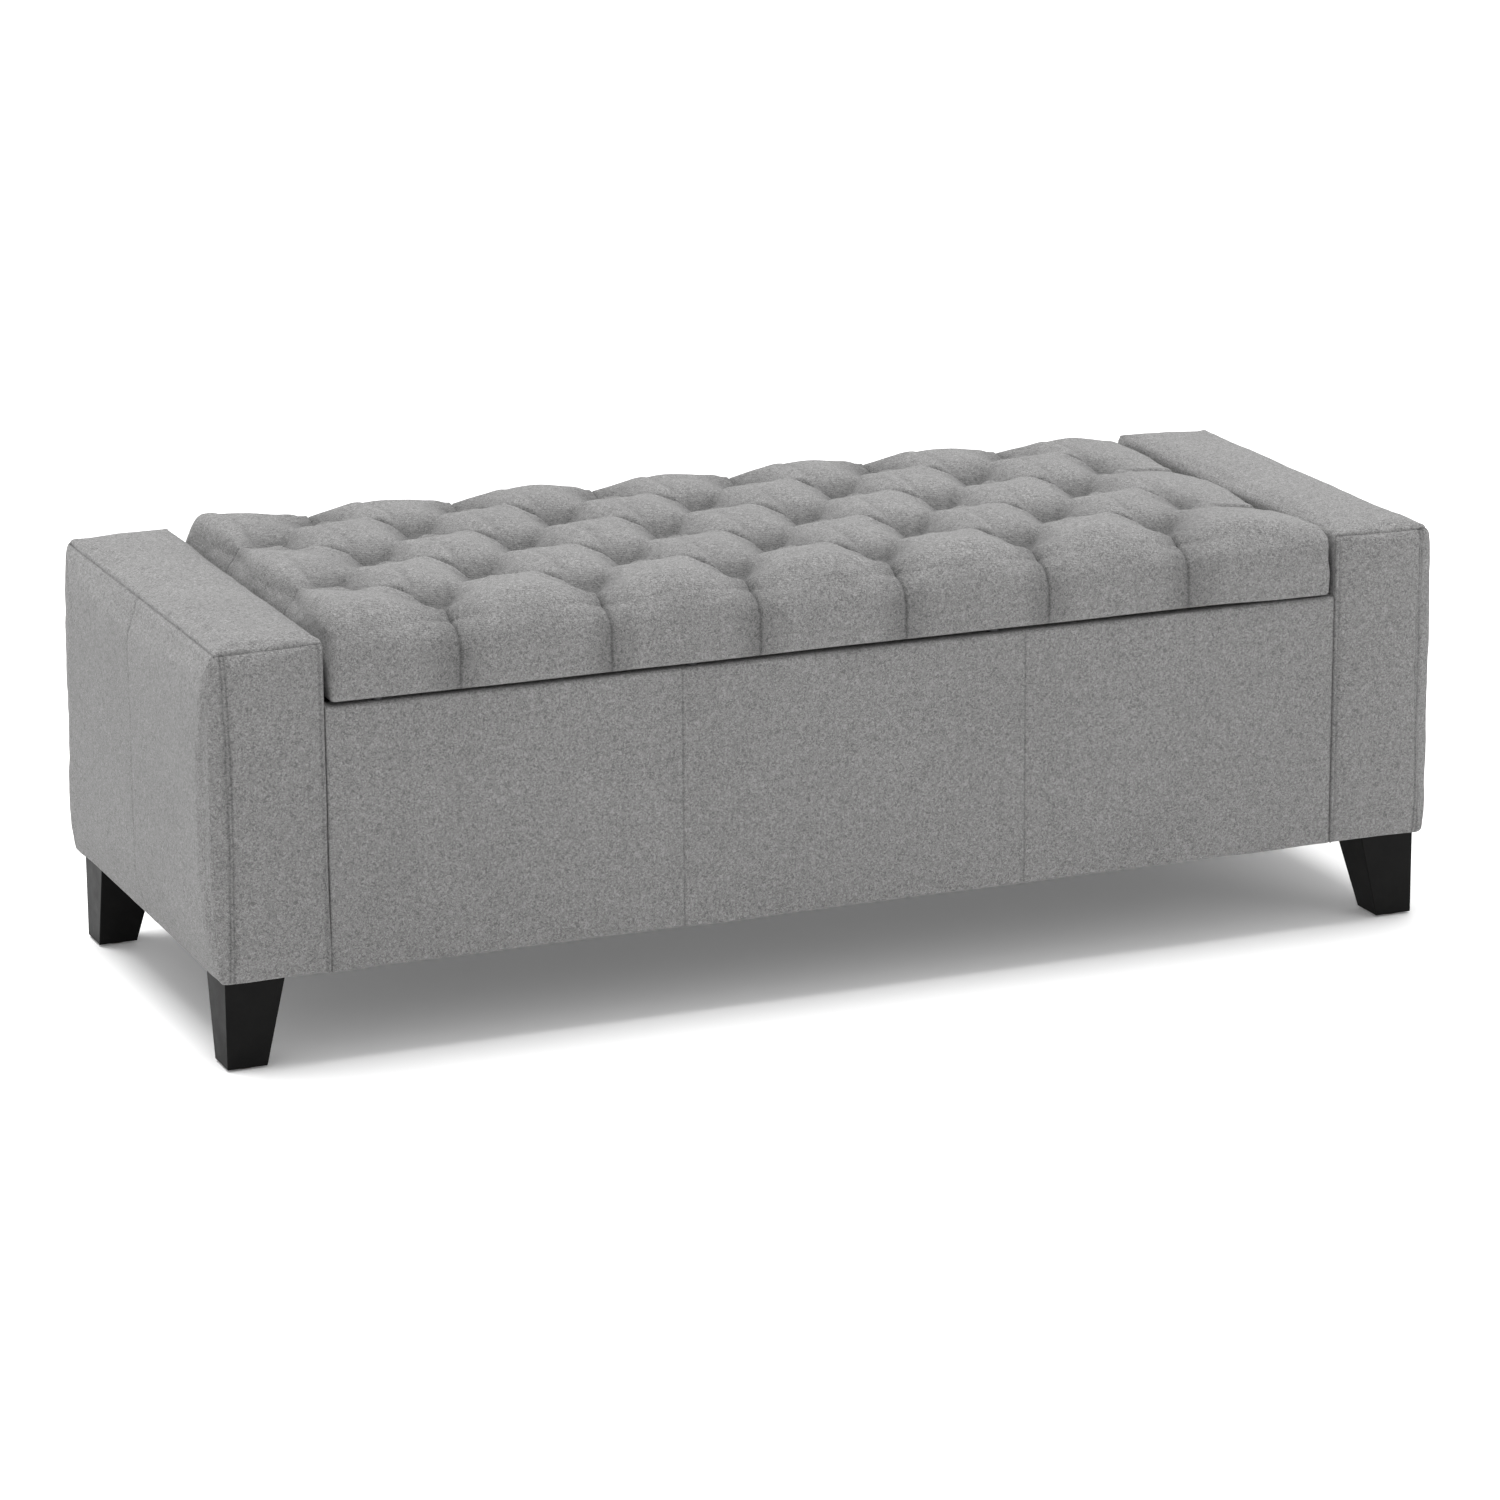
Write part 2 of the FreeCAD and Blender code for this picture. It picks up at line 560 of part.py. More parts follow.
def lid():
    tuft_under = f"({TUFT_BOTTOM} - dims.tuft_cloth)"
    _, outside = lid_form("LidForm", "0", TUFT_BOTTOM)
    plain, inside = lid_form("LidInner", "dims.cloth", tuft_under)
    whole = (both_ways(LID_END), (FRONT, BOX_BACK))

    def inset(span, amount):
        return f"({span[0]} + {amount})", f"({span[1]} - {amount})"

    window = block("LidWindow", *(inset(span, "dims.lid_hem") for span in whole),
                   (f"({LID_LOW} - dims.overshoot)", f"({LID_BOARD} + dims.overshoot)"))
    keep(cut("LidCover", outside, inside, window), "lid_cover")

    holes = [rod("TwineHole", "dims.twine_hole", *spot, (LID_LOW, "dims.lid_crown"))
             for spot in tuft_places()]
    drill = group("TwineHoles", holes)
    board = common("LidBoardForm", block("LidBoardSlab", *whole, (LID_BOARD, LID_BOARD_TOP)), plain)
    keep(cut("LidBoard", board, drill), "lid_board")
    foam = common("LidFoamForm", block("LidFoamSlab", *whole, (LID_BOARD_TOP, "dims.lid_crown")), inside)
    keep(cut("LidFoam", foam, drill), "lid_foam")

    lining_y = (f"({FRONT} + dims.hem)", f"({BOX_BACK} - dims.leaf_deep - dims.lining_gap)")
    lining_z = (f"({LID_LOW} - dims.lining)", LID_LOW)
    keep(block("LidLining", inset(whole[0], "dims.hem"), lining_y, lining_z), "lid_lining")

    washer_z = (f"({LID_BOARD} - dims.washer_thick)", LID_BOARD)
    twines = [rod("Twine", "dims.twine_radius", *spot, (LID_BOARD, tuft_under))
              for spot in tuft_places()]
    washers = [rod("Washer", "dims.washer_radius", *spot, washer_z) for spot in tuft_places()]
    keep(group("TuftTwines", twines), "tuft_twines")
    keep(group("TuftWashers", washers), "tuft_washers")


def bumpers():
    spots = [f"({sign} * dims.{name})" for name in ("bumper_out", "bumper_in") for sign in (-1, 1)]
    y = f"({FRONT} + dims.bumper_back)"
    z = ("dims.rim_height", f"({LID_LOW} - dims.lining - dims.bumper_clear)")
    keep(group("Bumpers", [rod("Bumper", "dims.bumper_radius", x, y, z) for x in spots]), "lid_bumpers")


# ---- hinges ----

def wood_screw(x, y, top, length, head_up):
    """A countersunk screw, driven down from its head, or up into the lid."""
    way = "-" if head_up else "+"
    flat = f"({top} {way} dims.leaf_thick)"
    tip = f"({top} {way} {length})"
    radii = ("dims.screw_radius", "dims.screw_head")
    if head_up:
        return fuse("Screw", [cone("ScrewHead", *radii, x, y, (flat, top)),
                              rod("ScrewShank", "dims.screw_radius", x, y, (tip, flat))])
    return fuse("Screw", [cone("ScrewHead", *reversed(radii), x, y, (top, flat)),
                          rod("ScrewShank", "dims.screw_radius", x, y, (flat, tip))])


def leaf(name, middle, first_eye, plate_z, screws):
    """One hinge leaf: a plate between lid and rim, and every other eye round the pin."""
    half = "(dims.hinge_width / 2)"
    plate_end = f"({BOX_BACK} - dims.eye_clear)"
    parts = [block(f"{name}Plate", around(middle, half),
                   (f"({BOX_BACK} - dims.leaf_deep)", plate_end), plate_z)]
    for eye in range(first_eye, EYES, 2):
        low = f"({middle} - {half} + {eye} * dims.hinge_width / {EYES} + dims.eye_gap / 2)"
        high = f"({low} + dims.hinge_width / {EYES} - dims.eye_gap)"
        parts.append(block(f"{name}Tab", (low, high), (plate_end, AXIS_Y), plate_z))
        parts.append(rod(f"{name}Eye", "dims.eye_radius", (low, high), AXIS_Y, AXIS_Z, axis="x"))
    span = around(middle, f"({half} + dims.overshoot)")
    bore = rod(f"{name}Bore", "dims.pin_radius + dims.running_gap", span, AXIS_Y, AXIS_Z, axis="x")
    return cut(name, fuse(f"{name}Solid", parts), bore, *screws)


def hinges():
    """Three butt hinges on the back edge. Returns the screws in the frame and in the lid."""
    frame_leaves, lid_leaves, pins, frame_screws, lid_screws = [], [], [], [], []
    rim_z = ("dims.rim_height", "(dims.rim_height + dims.leaf_thick)")
    lid_z = (f"({LID_LOW} - dims.leaf_thick)", LID_LOW)
    rows = (f"({BOX_BACK} - dims.screw_row)", f"({BOX_BACK} - dims.screw_row_deep)")
    for position in (-1, 0, 1):
        middle = f"({position} * dims.hinge_spread)"
        spots = [(f"({middle} + {shift} * dims.screw_side)", rows[shift == 0]) for shift in (-1, 0, 1)]
        down = [wood_screw(x, y, rim_z[1], "dims.screw_long", True) for x, y in spots]
        up = [wood_screw(x, y, lid_z[0], "dims.screw_short", False) for x, y in spots]
        frame_leaves.append(leaf("FrameLeaf", middle, 0, rim_z, down))
        lid_leaves.append(leaf("LidLeaf", middle, 1, lid_z, up))
        pin_x = around(middle, "(dims.hinge_width / 2)")
        pins.append(rod("HingePin", "dims.pin_radius", pin_x, AXIS_Y, AXIS_Z, axis="x"))
        frame_screws += down
        lid_screws += up
    keep(group("FrameLeaves", frame_leaves), "hinge_frame_leaves")
    keep(group("LidLeaves", lid_leaves), "hinge_lid_leaves")
    keep(group("HingePins", pins), "hinge_pins")
    return frame_screws, lid_screws


# ---- lid stays ----

def stay_arm(name, side):
    """A flat slotted arm that hangs from the lid's bracket and slides on the stud in the end wall."""
    body = new_body(f"{name}_stay_arm")
    blade = sketch_on(body, "XY_Plane")
    stadium(blade, "0", f"({STAY_LONG} + dims.slot_half + dims.slot_spare)", "dims.stay_half")
    plate = pad(body, blade, "dims.stay_thick")
    doc.recompute()
    slot = sketch_on(body, "XY_Plane")
    stadium(slot, f"({STAY_SHORT} - dims.slot_spare)", f"({STAY_LONG} + dims.slot_spare)",
            "dims.slot_half")
    slotted = pocket(body, slot, "dims.stay_thick", reverse=True)
    doc.recompute()
    assert 0 < slotted.Shape.Volume < plate.Shape.Volume, "the slot missed the stay arm"
    hole = sketch_on(body, "XY_Plane")
    circle(hole, "(dims.stud_radius + dims.running_gap)")
    pocket(body, hole, "dims.stay_thick", reverse=True)
    along = FreeCAD.Vector(0, size(STUD_Y) - size(PIVOT_Y), size(STUD_Z) - size(PIVOT_Z)).normalize()
    out = FreeCAD.Vector(1, 0, 0)
    turn = FreeCAD.Rotation(along, out.cross(along), out, "XZY")
    x = across(side, STAY_INNER, STAY_PLANE)[0]
    keep(place(body, x, PIVOT_Y, PIVOT_Z, turn), f"{name}_stay_arm")


def stay_bracket(name, side, screws):
    """An angle bracket under the lid: a flange for two screws and an ear for the arm's rivet."""
    top = LID_LOW
    flange = block("BracketFlange", across(side, f"({STAY_HEAD} - dims.bracket_wide)", STAY_HEAD),
                   around(PIVOT_Y, "(dims.bracket_long / 2)"), (f"({top} - dims.stay_thick)", top))
    ear_x = across(side, STAY_EAR, STAY_HEAD)
    ear = block("BracketEar", ear_x, around(PIVOT_Y, "dims.ear_half"), (PIVOT_Z, top))
    tip = rod("BracketTip", "dims.ear_half", ear_x, PIVOT_Y, PIVOT_Z, axis="x")
    hole = rod("BracketHole", "dims.stud_radius", ear_x, PIVOT_Y, PIVOT_Z, axis="x")
    solid = fuse("BracketSolid", [flange, ear, tip])
    keep(cut("Bracket", solid, hole, *screws), f"{name}_stay_bracket")


def stays():
    """Returns the brackets' screws in the lid and the stud plates' screws in the arms' inner walls."""
    rivets, studs, lid_screws, wall_screws = [], [], [], []
    for name, side in SIDES:
        stay_arm(name, side)
        flange_low = f"({LID_LOW} - dims.stay_thick)"
        x = across(side, f"({STAY_HEAD} - dims.bracket_wide / 2)", "0")[0 if side > 0 else 1]
        rows = [f"({PIVOT_Y} {way} dims.bracket_screw)" for way in "+-"]
        up = [wood_screw(x, y, flange_low, "dims.screw_short", False) for y in rows]
        stay_bracket(name, side, up)
        lid_screws += up

        head = "dims.rivet_head_thick"
        outer = f"({STAY_PLANE} + dims.stay_side_gap)"
        head_x = across(side, f"({STAY_EAR} - {head})", STAY_EAR)
        tail_x = across(side, outer, f"({outer} + {head})")
        at = (PIVOT_Y, PIVOT_Z)
        rivets.append(fuse("Rivet", [
            rod("RivetShank", "dims.stud_radius", across(side, STAY_EAR, outer), *at, axis="x"),
            rod("RivetHead", "dims.rivet_head", head_x, *at, axis="x"),
            rod("RivetTail", "dims.rivet_head", tail_x, *at, axis="x"),
        ]))

        at = (STUD_Y, STUD_Z)
        plate_front = f"({STAY_WALL} - dims.stay_thick)"
        screw_x = across(side, plate_front, f"({ARM_WALL} + dims.board - dims.stud_screw_spare)")
        heights = [f"({STUD_Z} {way} dims.bracket_screw)" for way in "+-"]
        holes = [rod("StudScrew", "dims.screw_radius", screw_x, STUD_Y, z, axis="x") for z in heights]
        solid = fuse("StudSolid", [
            block("StudPlate", across(side, plate_front, STAY_WALL),
                  around(STUD_Y, "dims.ear_half"), around(STUD_Z, "dims.plate_half")),
            rod("StudBoss", "dims.boss_radius", across(side, outer, STAY_WALL), *at, axis="x"),
            rod("StudShank", "dims.stud_radius", across(side, STAY_EAR, outer), *at, axis="x"),
            rod("StudHead", "dims.boss_radius", across(side, STAY_EAR, STAY_HEAD), *at, axis="x"),
        ])
        studs.append(cut("Stud", solid, *holes))
        wall_screws += holes
    keep(group("StayRivets", rivets), "stay_rivets")
    keep(group("StayStuds", studs), "stay_studs")
    return wall_screws, lid_screws


# ---- the whole bench ----

storage_box()
front_and_back()
underside()
for arm_name, arm_side in SIDES:
    arm(arm_name, arm_side)
arm_screws()
legs()
lid()
bumpers()
hinge_frame_screws, hinge_lid_screws = hinges()
stay_frame_screws, stay_lid_screws = stays()
keep(group("FrameScrews", hinge_frame_screws + stay_frame_screws), "frame_screws")
keep(group("LidScrews", hinge_lid_screws + stay_lid_screws), "lid_screws")
doc.recompute()

failed = [item.Label for item in doc.Objects if {"Invalid", "Error"} & set(item.State)]
for item in pieces:
    shape = item.Shape
    if shape.isNull() or not shape.isValid() or not shape.Solids:
        failed.append(item.Label)
if failed:
    raise SystemExit(f"failed objects: {failed}")
labels = [item.Label for item in pieces]
assert len(set(labels)) == len(labels) <= 60, "labels repeat or there are too many"

os.makedirs("parts", exist_ok=True)
for item in pieces:
    item.Shape.exportStep(f"parts/{item.Label}.step")
print(len(pieces), "nodes")
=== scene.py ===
"""The storage bench's looks: cloth, cushions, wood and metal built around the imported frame.

Metres, in the frame's own axes: +X along the bench to the right, +Y to the back, +Z up.
"""
import math
import bpy
import numpy as np
from mathutils import Matrix, Vector


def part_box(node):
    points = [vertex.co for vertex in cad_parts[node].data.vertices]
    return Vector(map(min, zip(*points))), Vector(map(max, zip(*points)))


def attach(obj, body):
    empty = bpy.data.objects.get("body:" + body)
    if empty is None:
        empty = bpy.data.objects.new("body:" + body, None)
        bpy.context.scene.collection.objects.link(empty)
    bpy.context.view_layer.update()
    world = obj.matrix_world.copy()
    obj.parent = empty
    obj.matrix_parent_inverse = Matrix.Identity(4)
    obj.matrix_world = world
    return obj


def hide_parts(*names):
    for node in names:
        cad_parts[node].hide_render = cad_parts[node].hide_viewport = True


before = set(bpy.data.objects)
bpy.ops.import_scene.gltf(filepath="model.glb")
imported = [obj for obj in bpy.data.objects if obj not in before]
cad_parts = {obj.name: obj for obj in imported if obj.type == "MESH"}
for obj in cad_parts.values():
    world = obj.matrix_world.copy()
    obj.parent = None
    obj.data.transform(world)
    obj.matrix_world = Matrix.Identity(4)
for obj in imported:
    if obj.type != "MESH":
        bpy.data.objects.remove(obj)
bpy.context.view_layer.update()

SIDES = (("left", -1), ("right", 1))
TAU = 2 * math.pi

CAMERA_AT = (-2.0859, -5.0177, 1.6874)
CAMERA_TURNS = (22.56, 15.44, -0.36)  # yaw, pitch and roll in degrees
LENS = 132.55  # mm
WORLD_STRENGTH = 0.79
SUN_FROM = (-0.06, 0.18, 1.0)
SUN_ENERGY = 4.1
SUN_SPREAD = 40  # degrees
FILL_AT, FILL_SIZE, FILL_POWER = (3.0, -2.8, 1.3), 2.0, 16
AIM = (0, 0, 0.25)  # the middle of the bench
FLOOR_HALF = 14


# ---- camera, lights and floor ----

def camera():
    """Looks at the front from the bench's left and a little above, through a long lens."""
    yaw, pitch, roll = (math.radians(angle) for angle in CAMERA_TURNS)
    ahead = Vector((math.sin(yaw) * math.cos(pitch), math.cos(yaw) * math.cos(pitch), -math.sin(pitch)))
    level = Vector((math.cos(yaw), -math.sin(yaw), 0))
    above = level.cross(ahead)
    right = math.cos(roll) * level + math.sin(roll) * above
    up = math.cos(roll) * above - math.sin(roll) * level
    lens = bpy.data.cameras.new("camera")
    lens.lens = LENS
    made = bpy.data.objects.new("camera", lens)
    turn = Matrix((right, up, -ahead)).transposed().to_4x4()
    made.matrix_world = Matrix.Translation(CAMERA_AT) @ turn
    bpy.context.scene.collection.objects.link(made)
    bpy.context.scene.camera = made


def area_light(name, place, size, power):
    """A soft square light that faces the middle of the bench."""
    data = bpy.data.lights.new(name, "AREA")
    data.energy = power
    data.size = size
    made = bpy.data.objects.new(name, data)
    made.location = place
    made.rotation_euler = (Vector(AIM) - Vector(place)).to_track_quat("-Z", "Y").to_euler()
    bpy.context.scene.collection.objects.link(made)


def studio():
    scene = bpy.context.scene
    scene.view_settings.view_transform = "Standard"
    world = bpy.data.worlds.new("studio")
    world.use_nodes = True
    world.node_tree.nodes["Background"].inputs["Color"].default_value = (1, 1, 1, 1)
    world.node_tree.nodes["Background"].inputs["Strength"].default_value = WORLD_STRENGTH
    scene.world = world
    sun = bpy.data.lights.new("overhead", "SUN")
    sun.energy = SUN_ENERGY
    sun.angle = math.radians(SUN_SPREAD)
    lamp = bpy.data.objects.new("overhead", sun)
    lamp.rotation_euler = Vector(SUN_FROM).to_track_quat("Z", "Y").to_euler()
    scene.collection.objects.link(lamp)
    area_light("right_fill", FILL_AT, FILL_SIZE, FILL_POWER)
    half = FLOOR_HALF
    floor = mesh_piece("floor", [(-half, -half, 0), (half, -half, 0), (half, half, 0), (-half, half, 0)],
                       [(0, 1, 2, 3)], floor_paint())


# ---- materials ----

def node(tree, kind, values=None, links=None, **options):
    """A new node with its options, its input values and the sockets that feed it."""
    made = tree.nodes.new(kind)
    for name, value in options.items():
        setattr(made, name, value)
    for name, value in (values or {}).items():
        made.inputs[name].default_value = value
    for name, socket in (links or {}).items():
        tree.links.new(socket, made.inputs[name])
    return made


def blank(name, **values):
    """A material with its Principled shader's own sockets set. Returns it, its tree, shader and place."""
    made = bpy.data.materials.new(name)
    made.use_nodes = True
    tree = made.node_tree
    shader = tree.nodes["Principled BSDF"]
    for socket, value in values.items():
        shader.inputs[socket.replace("_", " ")].default_value = value
    place = node(tree, "ShaderNodeTexCoord").outputs["Object"]
    return made, tree, shader, place


def grey(value, warm=0.0):
    """A neutral colour, a little warmer where warm is above zero."""
    return (value * (1 + warm), value, value * (1 - warm), 1)


def noise(tree, place, scale, detail=2.0, rough=0.5, bend=0.0, stretch=None):
    """Soft noise with scale cells to the metre, drawn out along an axis by stretch."""
    if stretch:
        place = node(tree, "ShaderNodeMapping", {"Scale": stretch}, {"Vector": place}).outputs[0]
    values = {"Scale": scale, "Detail": detail, "Roughness": rough, "Distortion": bend}
    return node(tree, "ShaderNodeTexNoise", values, {"Vector": place}).outputs[0]


def fitted(tree, value, low, high, out_low, out_high):
    """A value stretched from one range to another."""
    values = {"From Min": low, "From Max": high, "To Min": out_low, "To Max": out_high}
    return node(tree, "ShaderNodeMapRange", values, {"Value": value}).outputs[0]


def maths(tree, operation, first, second):
    """Two values, sockets or numbers, put through a Math node."""
    made = node(tree, "ShaderNodeMath", operation=operation)
    for slot, value in enumerate((first, second)):
        if isinstance(value, (int, float)):
            made.inputs[slot].default_value = value
        else:
            tree.links.new(value, made.inputs[slot])
    return made.outputs[0]


def ramp(tree, value, stops):
    """Colours along a value, from (place, colour) pairs."""
    made = node(tree, "ShaderNodeValToRGB", links={"Fac": value})
    line = made.color_ramp.elements
    while len(line) < len(stops):
        line.new(0.5)
    for element, (place, colour) in zip(line, stops):
        element.position = place
        element.color = colour
    return made.outputs[0]


def bumped(tree, shader, height, distance, strength=1.0):
    """Give a shader the small relief of a height from 0 to 1."""
    made = node(tree, "ShaderNodeBump", {"Distance": distance, "Strength": strength}, {"Height": height})
    tree.links.new(made.outputs[0], shader.inputs["Normal"])


def threads(tree, place, pitch, wander):
    """A plain weave's height on any upright or level face: bands across all three axes."""
    height = None
    for axis in "XYZ":
        values = {"Scale": TAU / (20 * pitch), "Distortion": wander, "Detail": 2.0, "Detail Scale": 1.4}
        band = node(tree, "ShaderNodeTexWave", values, {"Vector": place}, bands_direction=axis).outputs[1]
        height = band if height is None else maths(tree, "ADD", height, band)
    return height


def curls(tree, place, scale, shift):
    """Thin curling lines, like short fibres lying every way: 1 on a line and 0 between."""
    moved = node(tree, "ShaderNodeMapping", {"Location": (shift, shift, shift)}, {"Vector": place}).outputs[0]
    value = noise(tree, moved, scale, 1.0, 0.5, 0.8)
    away = maths(tree, "ABSOLUTE", maths(tree, "SUBTRACT", value, 0.5), 0)
    return fitted(tree, away, 0.0, 0.055, 1, 0)


PAINTED_SHADE_TONE = 0.38  # what is left of a cloth's tone where the painted shade of seams, folds and pits is full


def cloth(name, middle, contrast, fleck, pitch, sheen, warm=0.0, streaks=0.05):
    """A woven cloth of mixed light and dark fibres, with shade painted into its colour where the mesh's seam
    attribute is.
    """
    made, tree, shader, place = blank(name, Roughness=0.93, Sheen_Weight=sheen, Sheen_Roughness=0.55)
    shader.inputs["Specular IOR Level"].default_value = 0.25
    fibre = noise(tree, place, 1.6 / fleck, 1.5, 0.5, 0.6)
    pale = curls(tree, place, 1 / fleck, 0.0)
    shadow = curls(tree, place, 0.85 / fleck, 3.7)
    mixed = maths(tree, "ADD", maths(tree, "MULTIPLY", fibre, 0.45), maths(tree, "MULTIPLY", pale, 0.42))
    mixed = maths(tree, "SUBTRACT", mixed, maths(tree, "MULTIPLY", shadow, 0.38))
    tones = (middle * (1 - contrast), middle, middle * (1 + contrast))
    melange = ramp(tree, mixed, [(at, grey(tone, warm)) for at, tone in zip((0.0, 0.24, 0.52), tones)])
    streak = fitted(tree, noise(tree, place, 1, 2, stretch=(95, 95, 5)), 0.3, 0.7, 1 - streaks, 1 + streaks)
    patch = fitted(tree, noise(tree, place, 6, 3), 0.3, 0.7, 0.965, 1.035)
    # painted shade: the seam attribute darkens the colour at seams, folds, hollows and pits, where shade
    # falls
    seam = node(tree, "ShaderNodeAttribute", attribute_name="seam").outputs["Fac"]
    uneven = maths(tree, "MULTIPLY", streak, patch)
    shade = maths(tree, "MULTIPLY", uneven, fitted(tree, seam, 0, 1, 1, PAINTED_SHADE_TONE))
    toned = node(tree, "ShaderNodeHueSaturation", links={"Value": shade, "Color": melange}).outputs[0]
    tree.links.new(toned, shader.inputs["Base Color"])
    tree.links.new(fitted(tree, fibre, 0.3, 0.7, 0.86, 0.98), shader.inputs["Roughness"])
    woven = maths(tree, "MULTIPLY", threads(tree, place, pitch, 1.5), 0.22)
    bumped(tree, shader, maths(tree, "ADD", woven, maths(tree, "MULTIPLY", mixed, 0.7)), 0.0007)
    return made


def wood(name, light, dark, grain, chips=0.0):
    """Pale wood with its grain along X, or pressed board where chips is above zero."""
    made, tree, shader, place = blank(name, Roughness=0.7)
    if chips:
        drawn_out = node(tree, "ShaderNodeMapping", {"Scale": (0.45, 1, 1)}, {"Vector": place}).outputs[0]
        cells = node(tree, "ShaderNodeTexVoronoi", {"Scale": 1 / chips, "Randomness": 1.0},
                     {"Vector": drawn_out}).outputs["Color"]
        value = node(tree, "ShaderNodeRGBToBW", links={"Color": cells}).outputs[0]
        dust = maths(tree, "MULTIPLY", noise(tree, place, 900, 3), 0.3)
        value = maths(tree, "ADD", maths(tree, "MULTIPLY", value, 0.7), dust)
    else:
        value = noise(tree, place, 1, 4, 0.6, 1.2, stretch=(4, grain, grain))
    tree.links.new(ramp(tree, value, [(0.25, dark), (0.75, light)]), shader.inputs["Base Color"])
    tree.links.new(fitted(tree, value, 0.2, 0.8, 0.6, 0.85), shader.inputs["Roughness"])
    bumped(tree, shader, value, 0.0004)
    return made


def metal(name, colour, rough, brushed):
    """Plated steel: fine draw marks, cloudy plating and small dull spots."""
    made, tree, shader, place = blank(name, Metallic=1.0)
    marks = noise(tree, place, 1, 3, 0.6, stretch=(brushed, brushed, brushed * 6))
    cloud = noise(tree, place, 70, 3)
    dull = tuple(c * 0.72 for c in colour[:3]) + (1,)
    tree.links.new(ramp(tree, cloud, [(0.3, dull), (0.62, colour)]), shader.inputs["Base Color"])
    tree.links.new(fitted(tree, maths(tree, "ADD", marks, cloud), 0.6, 1.4, rough * 0.75, rough * 1.35),
                   shader.inputs["Roughness"])
    bumped(tree, shader, marks, 0.00008)
    return made


def leg_paint():
    """Satin black lacquer over wood: faint grain, soft orange peel, rubbed patches."""
    made, tree, shader, place = blank("leg_paint", Specular_IOR_Level=0.07)
    grain = noise(tree, place, 1, 4, 0.6, 0.8, stretch=(420, 420, 16))
    peel = noise(tree, place, 520, 1.5)
    rubbed = noise(tree, place, 34, 4, 0.65)
    tree.links.new(ramp(tree, rubbed, [(0.35, grey(0.004)), (0.72, grey(0.007, 0.03))]),
                   shader.inputs["Base Color"])
    tree.links.new(fitted(tree, rubbed, 0.3, 0.75, 0.42, 0.55), shader.inputs["Roughness"])
    relief = maths(tree, "ADD", maths(tree, "MULTIPLY", grain, 0.6), maths(tree, "MULTIPLY", peel, 0.4))
    bumped(tree, shader, relief, 0.00012)
    return made


def matt(name, colour, rough, cell, depth):
    """A dull moulded or felted material with a fine, uneven skin."""
    made, tree, shader, place = blank(name)
    skin = noise(tree, place, 1 / cell, 4, 0.7, 0.7)
    dark = tuple(c * 0.6 for c in colour[:3]) + (1,)
    tree.links.new(ramp(tree, skin, [(0.3, dark), (0.65, colour)]), shader.inputs["Base Color"])
    tree.links.new(fitted(tree, skin, 0.3, 0.7, rough * 0.85, min(1, rough * 1.1)),
                   shader.inputs["Roughness"])
    bumped(tree, shader, skin, depth)
    return made


def spunbond():
    """Thin black spunbonded dust cloth with its grid of welded points."""
    made, tree, shader, place = blank("dust_cloth", Roughness=0.8)
    points = threads(tree, place, 0.0022, 0.1)
    fibres = noise(tree, place, 700, 4, 0.7, 2.0)
    tree.links.new(ramp(tree, fibres, [(0.3, grey(0.008)), (0.7, grey(0.03))]), shader.inputs["Base Color"])
    tree.links.new(fitted(tree, points, 1.0, 2.2, 0.9, 0.6), shader.inputs["Roughness"])
    bumped(tree, shader, maths(tree, "ADD", points, fibres), 0.0002)
    return made


def floor_paint():
    """White paper lit a little from below, as on a light table, so that shadows stay pale."""
    made, tree, shader, place = blank("floor_paint", Emission_Color=(1, 1, 1, 1), Emission_Strength=0.10)
    speck = noise(tree, place, 3, 3)
    tree.links.new(ramp(tree, speck, [(0.2, grey(0.84)), (0.8, grey(0.86))]), shader.inputs["Base Color"])
    tree.links.new(fitted(tree, speck, 0.2, 0.8, 0.85, 0.95), shader.inputs["Roughness"])
    return made


# ---- mesh code ----

def mesh_piece(name, points, faces, material, seam=None):
    """A new smooth object. seam says, point by point, how much painted shade darkens it at its seams, folds
    and hollows.
    """
    mesh = bpy.data.meshes.new(name)
    mesh.from_pydata(np.asarray(points).tolist(), [], [list(map(int, face)) for face in faces])
    mesh.polygons.foreach_set("use_smooth", np.ones(len(mesh.polygons), bool))
    if seam is not None:
        attribute = mesh.attributes.new("seam", "FLOAT", "POINT")
        attribute.data.foreach_set("value", np.clip(seam, 0, 1).astype(np.float32))
    mesh.materials.append(material)
    mesh.update()
    made = bpy.data.objects.new(name, mesh)
    bpy.context.scene.collection.objects.link(made)
    return made


def spread(marks, step):
    """Rising places that take in every mark, about step apart in between."""
    places = [marks[0]]
    for low, high in zip(marks, marks[1:]):
        count = max(1, round((high - low) / step))
        places += list(np.linspace(low, high, count + 1)[1:])
    return np.array(places)


def fine_spread(low, high, seams=(), edge=0.012, fine=0.0015, coarse=0.005):
    """Places from low to high, close together at both ends and at the seams."""
    marks = {low, low + edge, high - edge, high}
    for seam in seams:
        marks |= {seam - 2 * fine, seam - fine, seam, seam + fine, seam + 2 * fine}
    marks = sorted(mark for mark in marks if low <= mark <= high)
    places = [marks[0]]
    for start, end in zip(marks, marks[1:]):
        if end - start > fine / 4:
            step = coarse if end - start > edge * 1.01 else fine
            places += list(spread((start, end), step)[1:])
    return np.array(places)


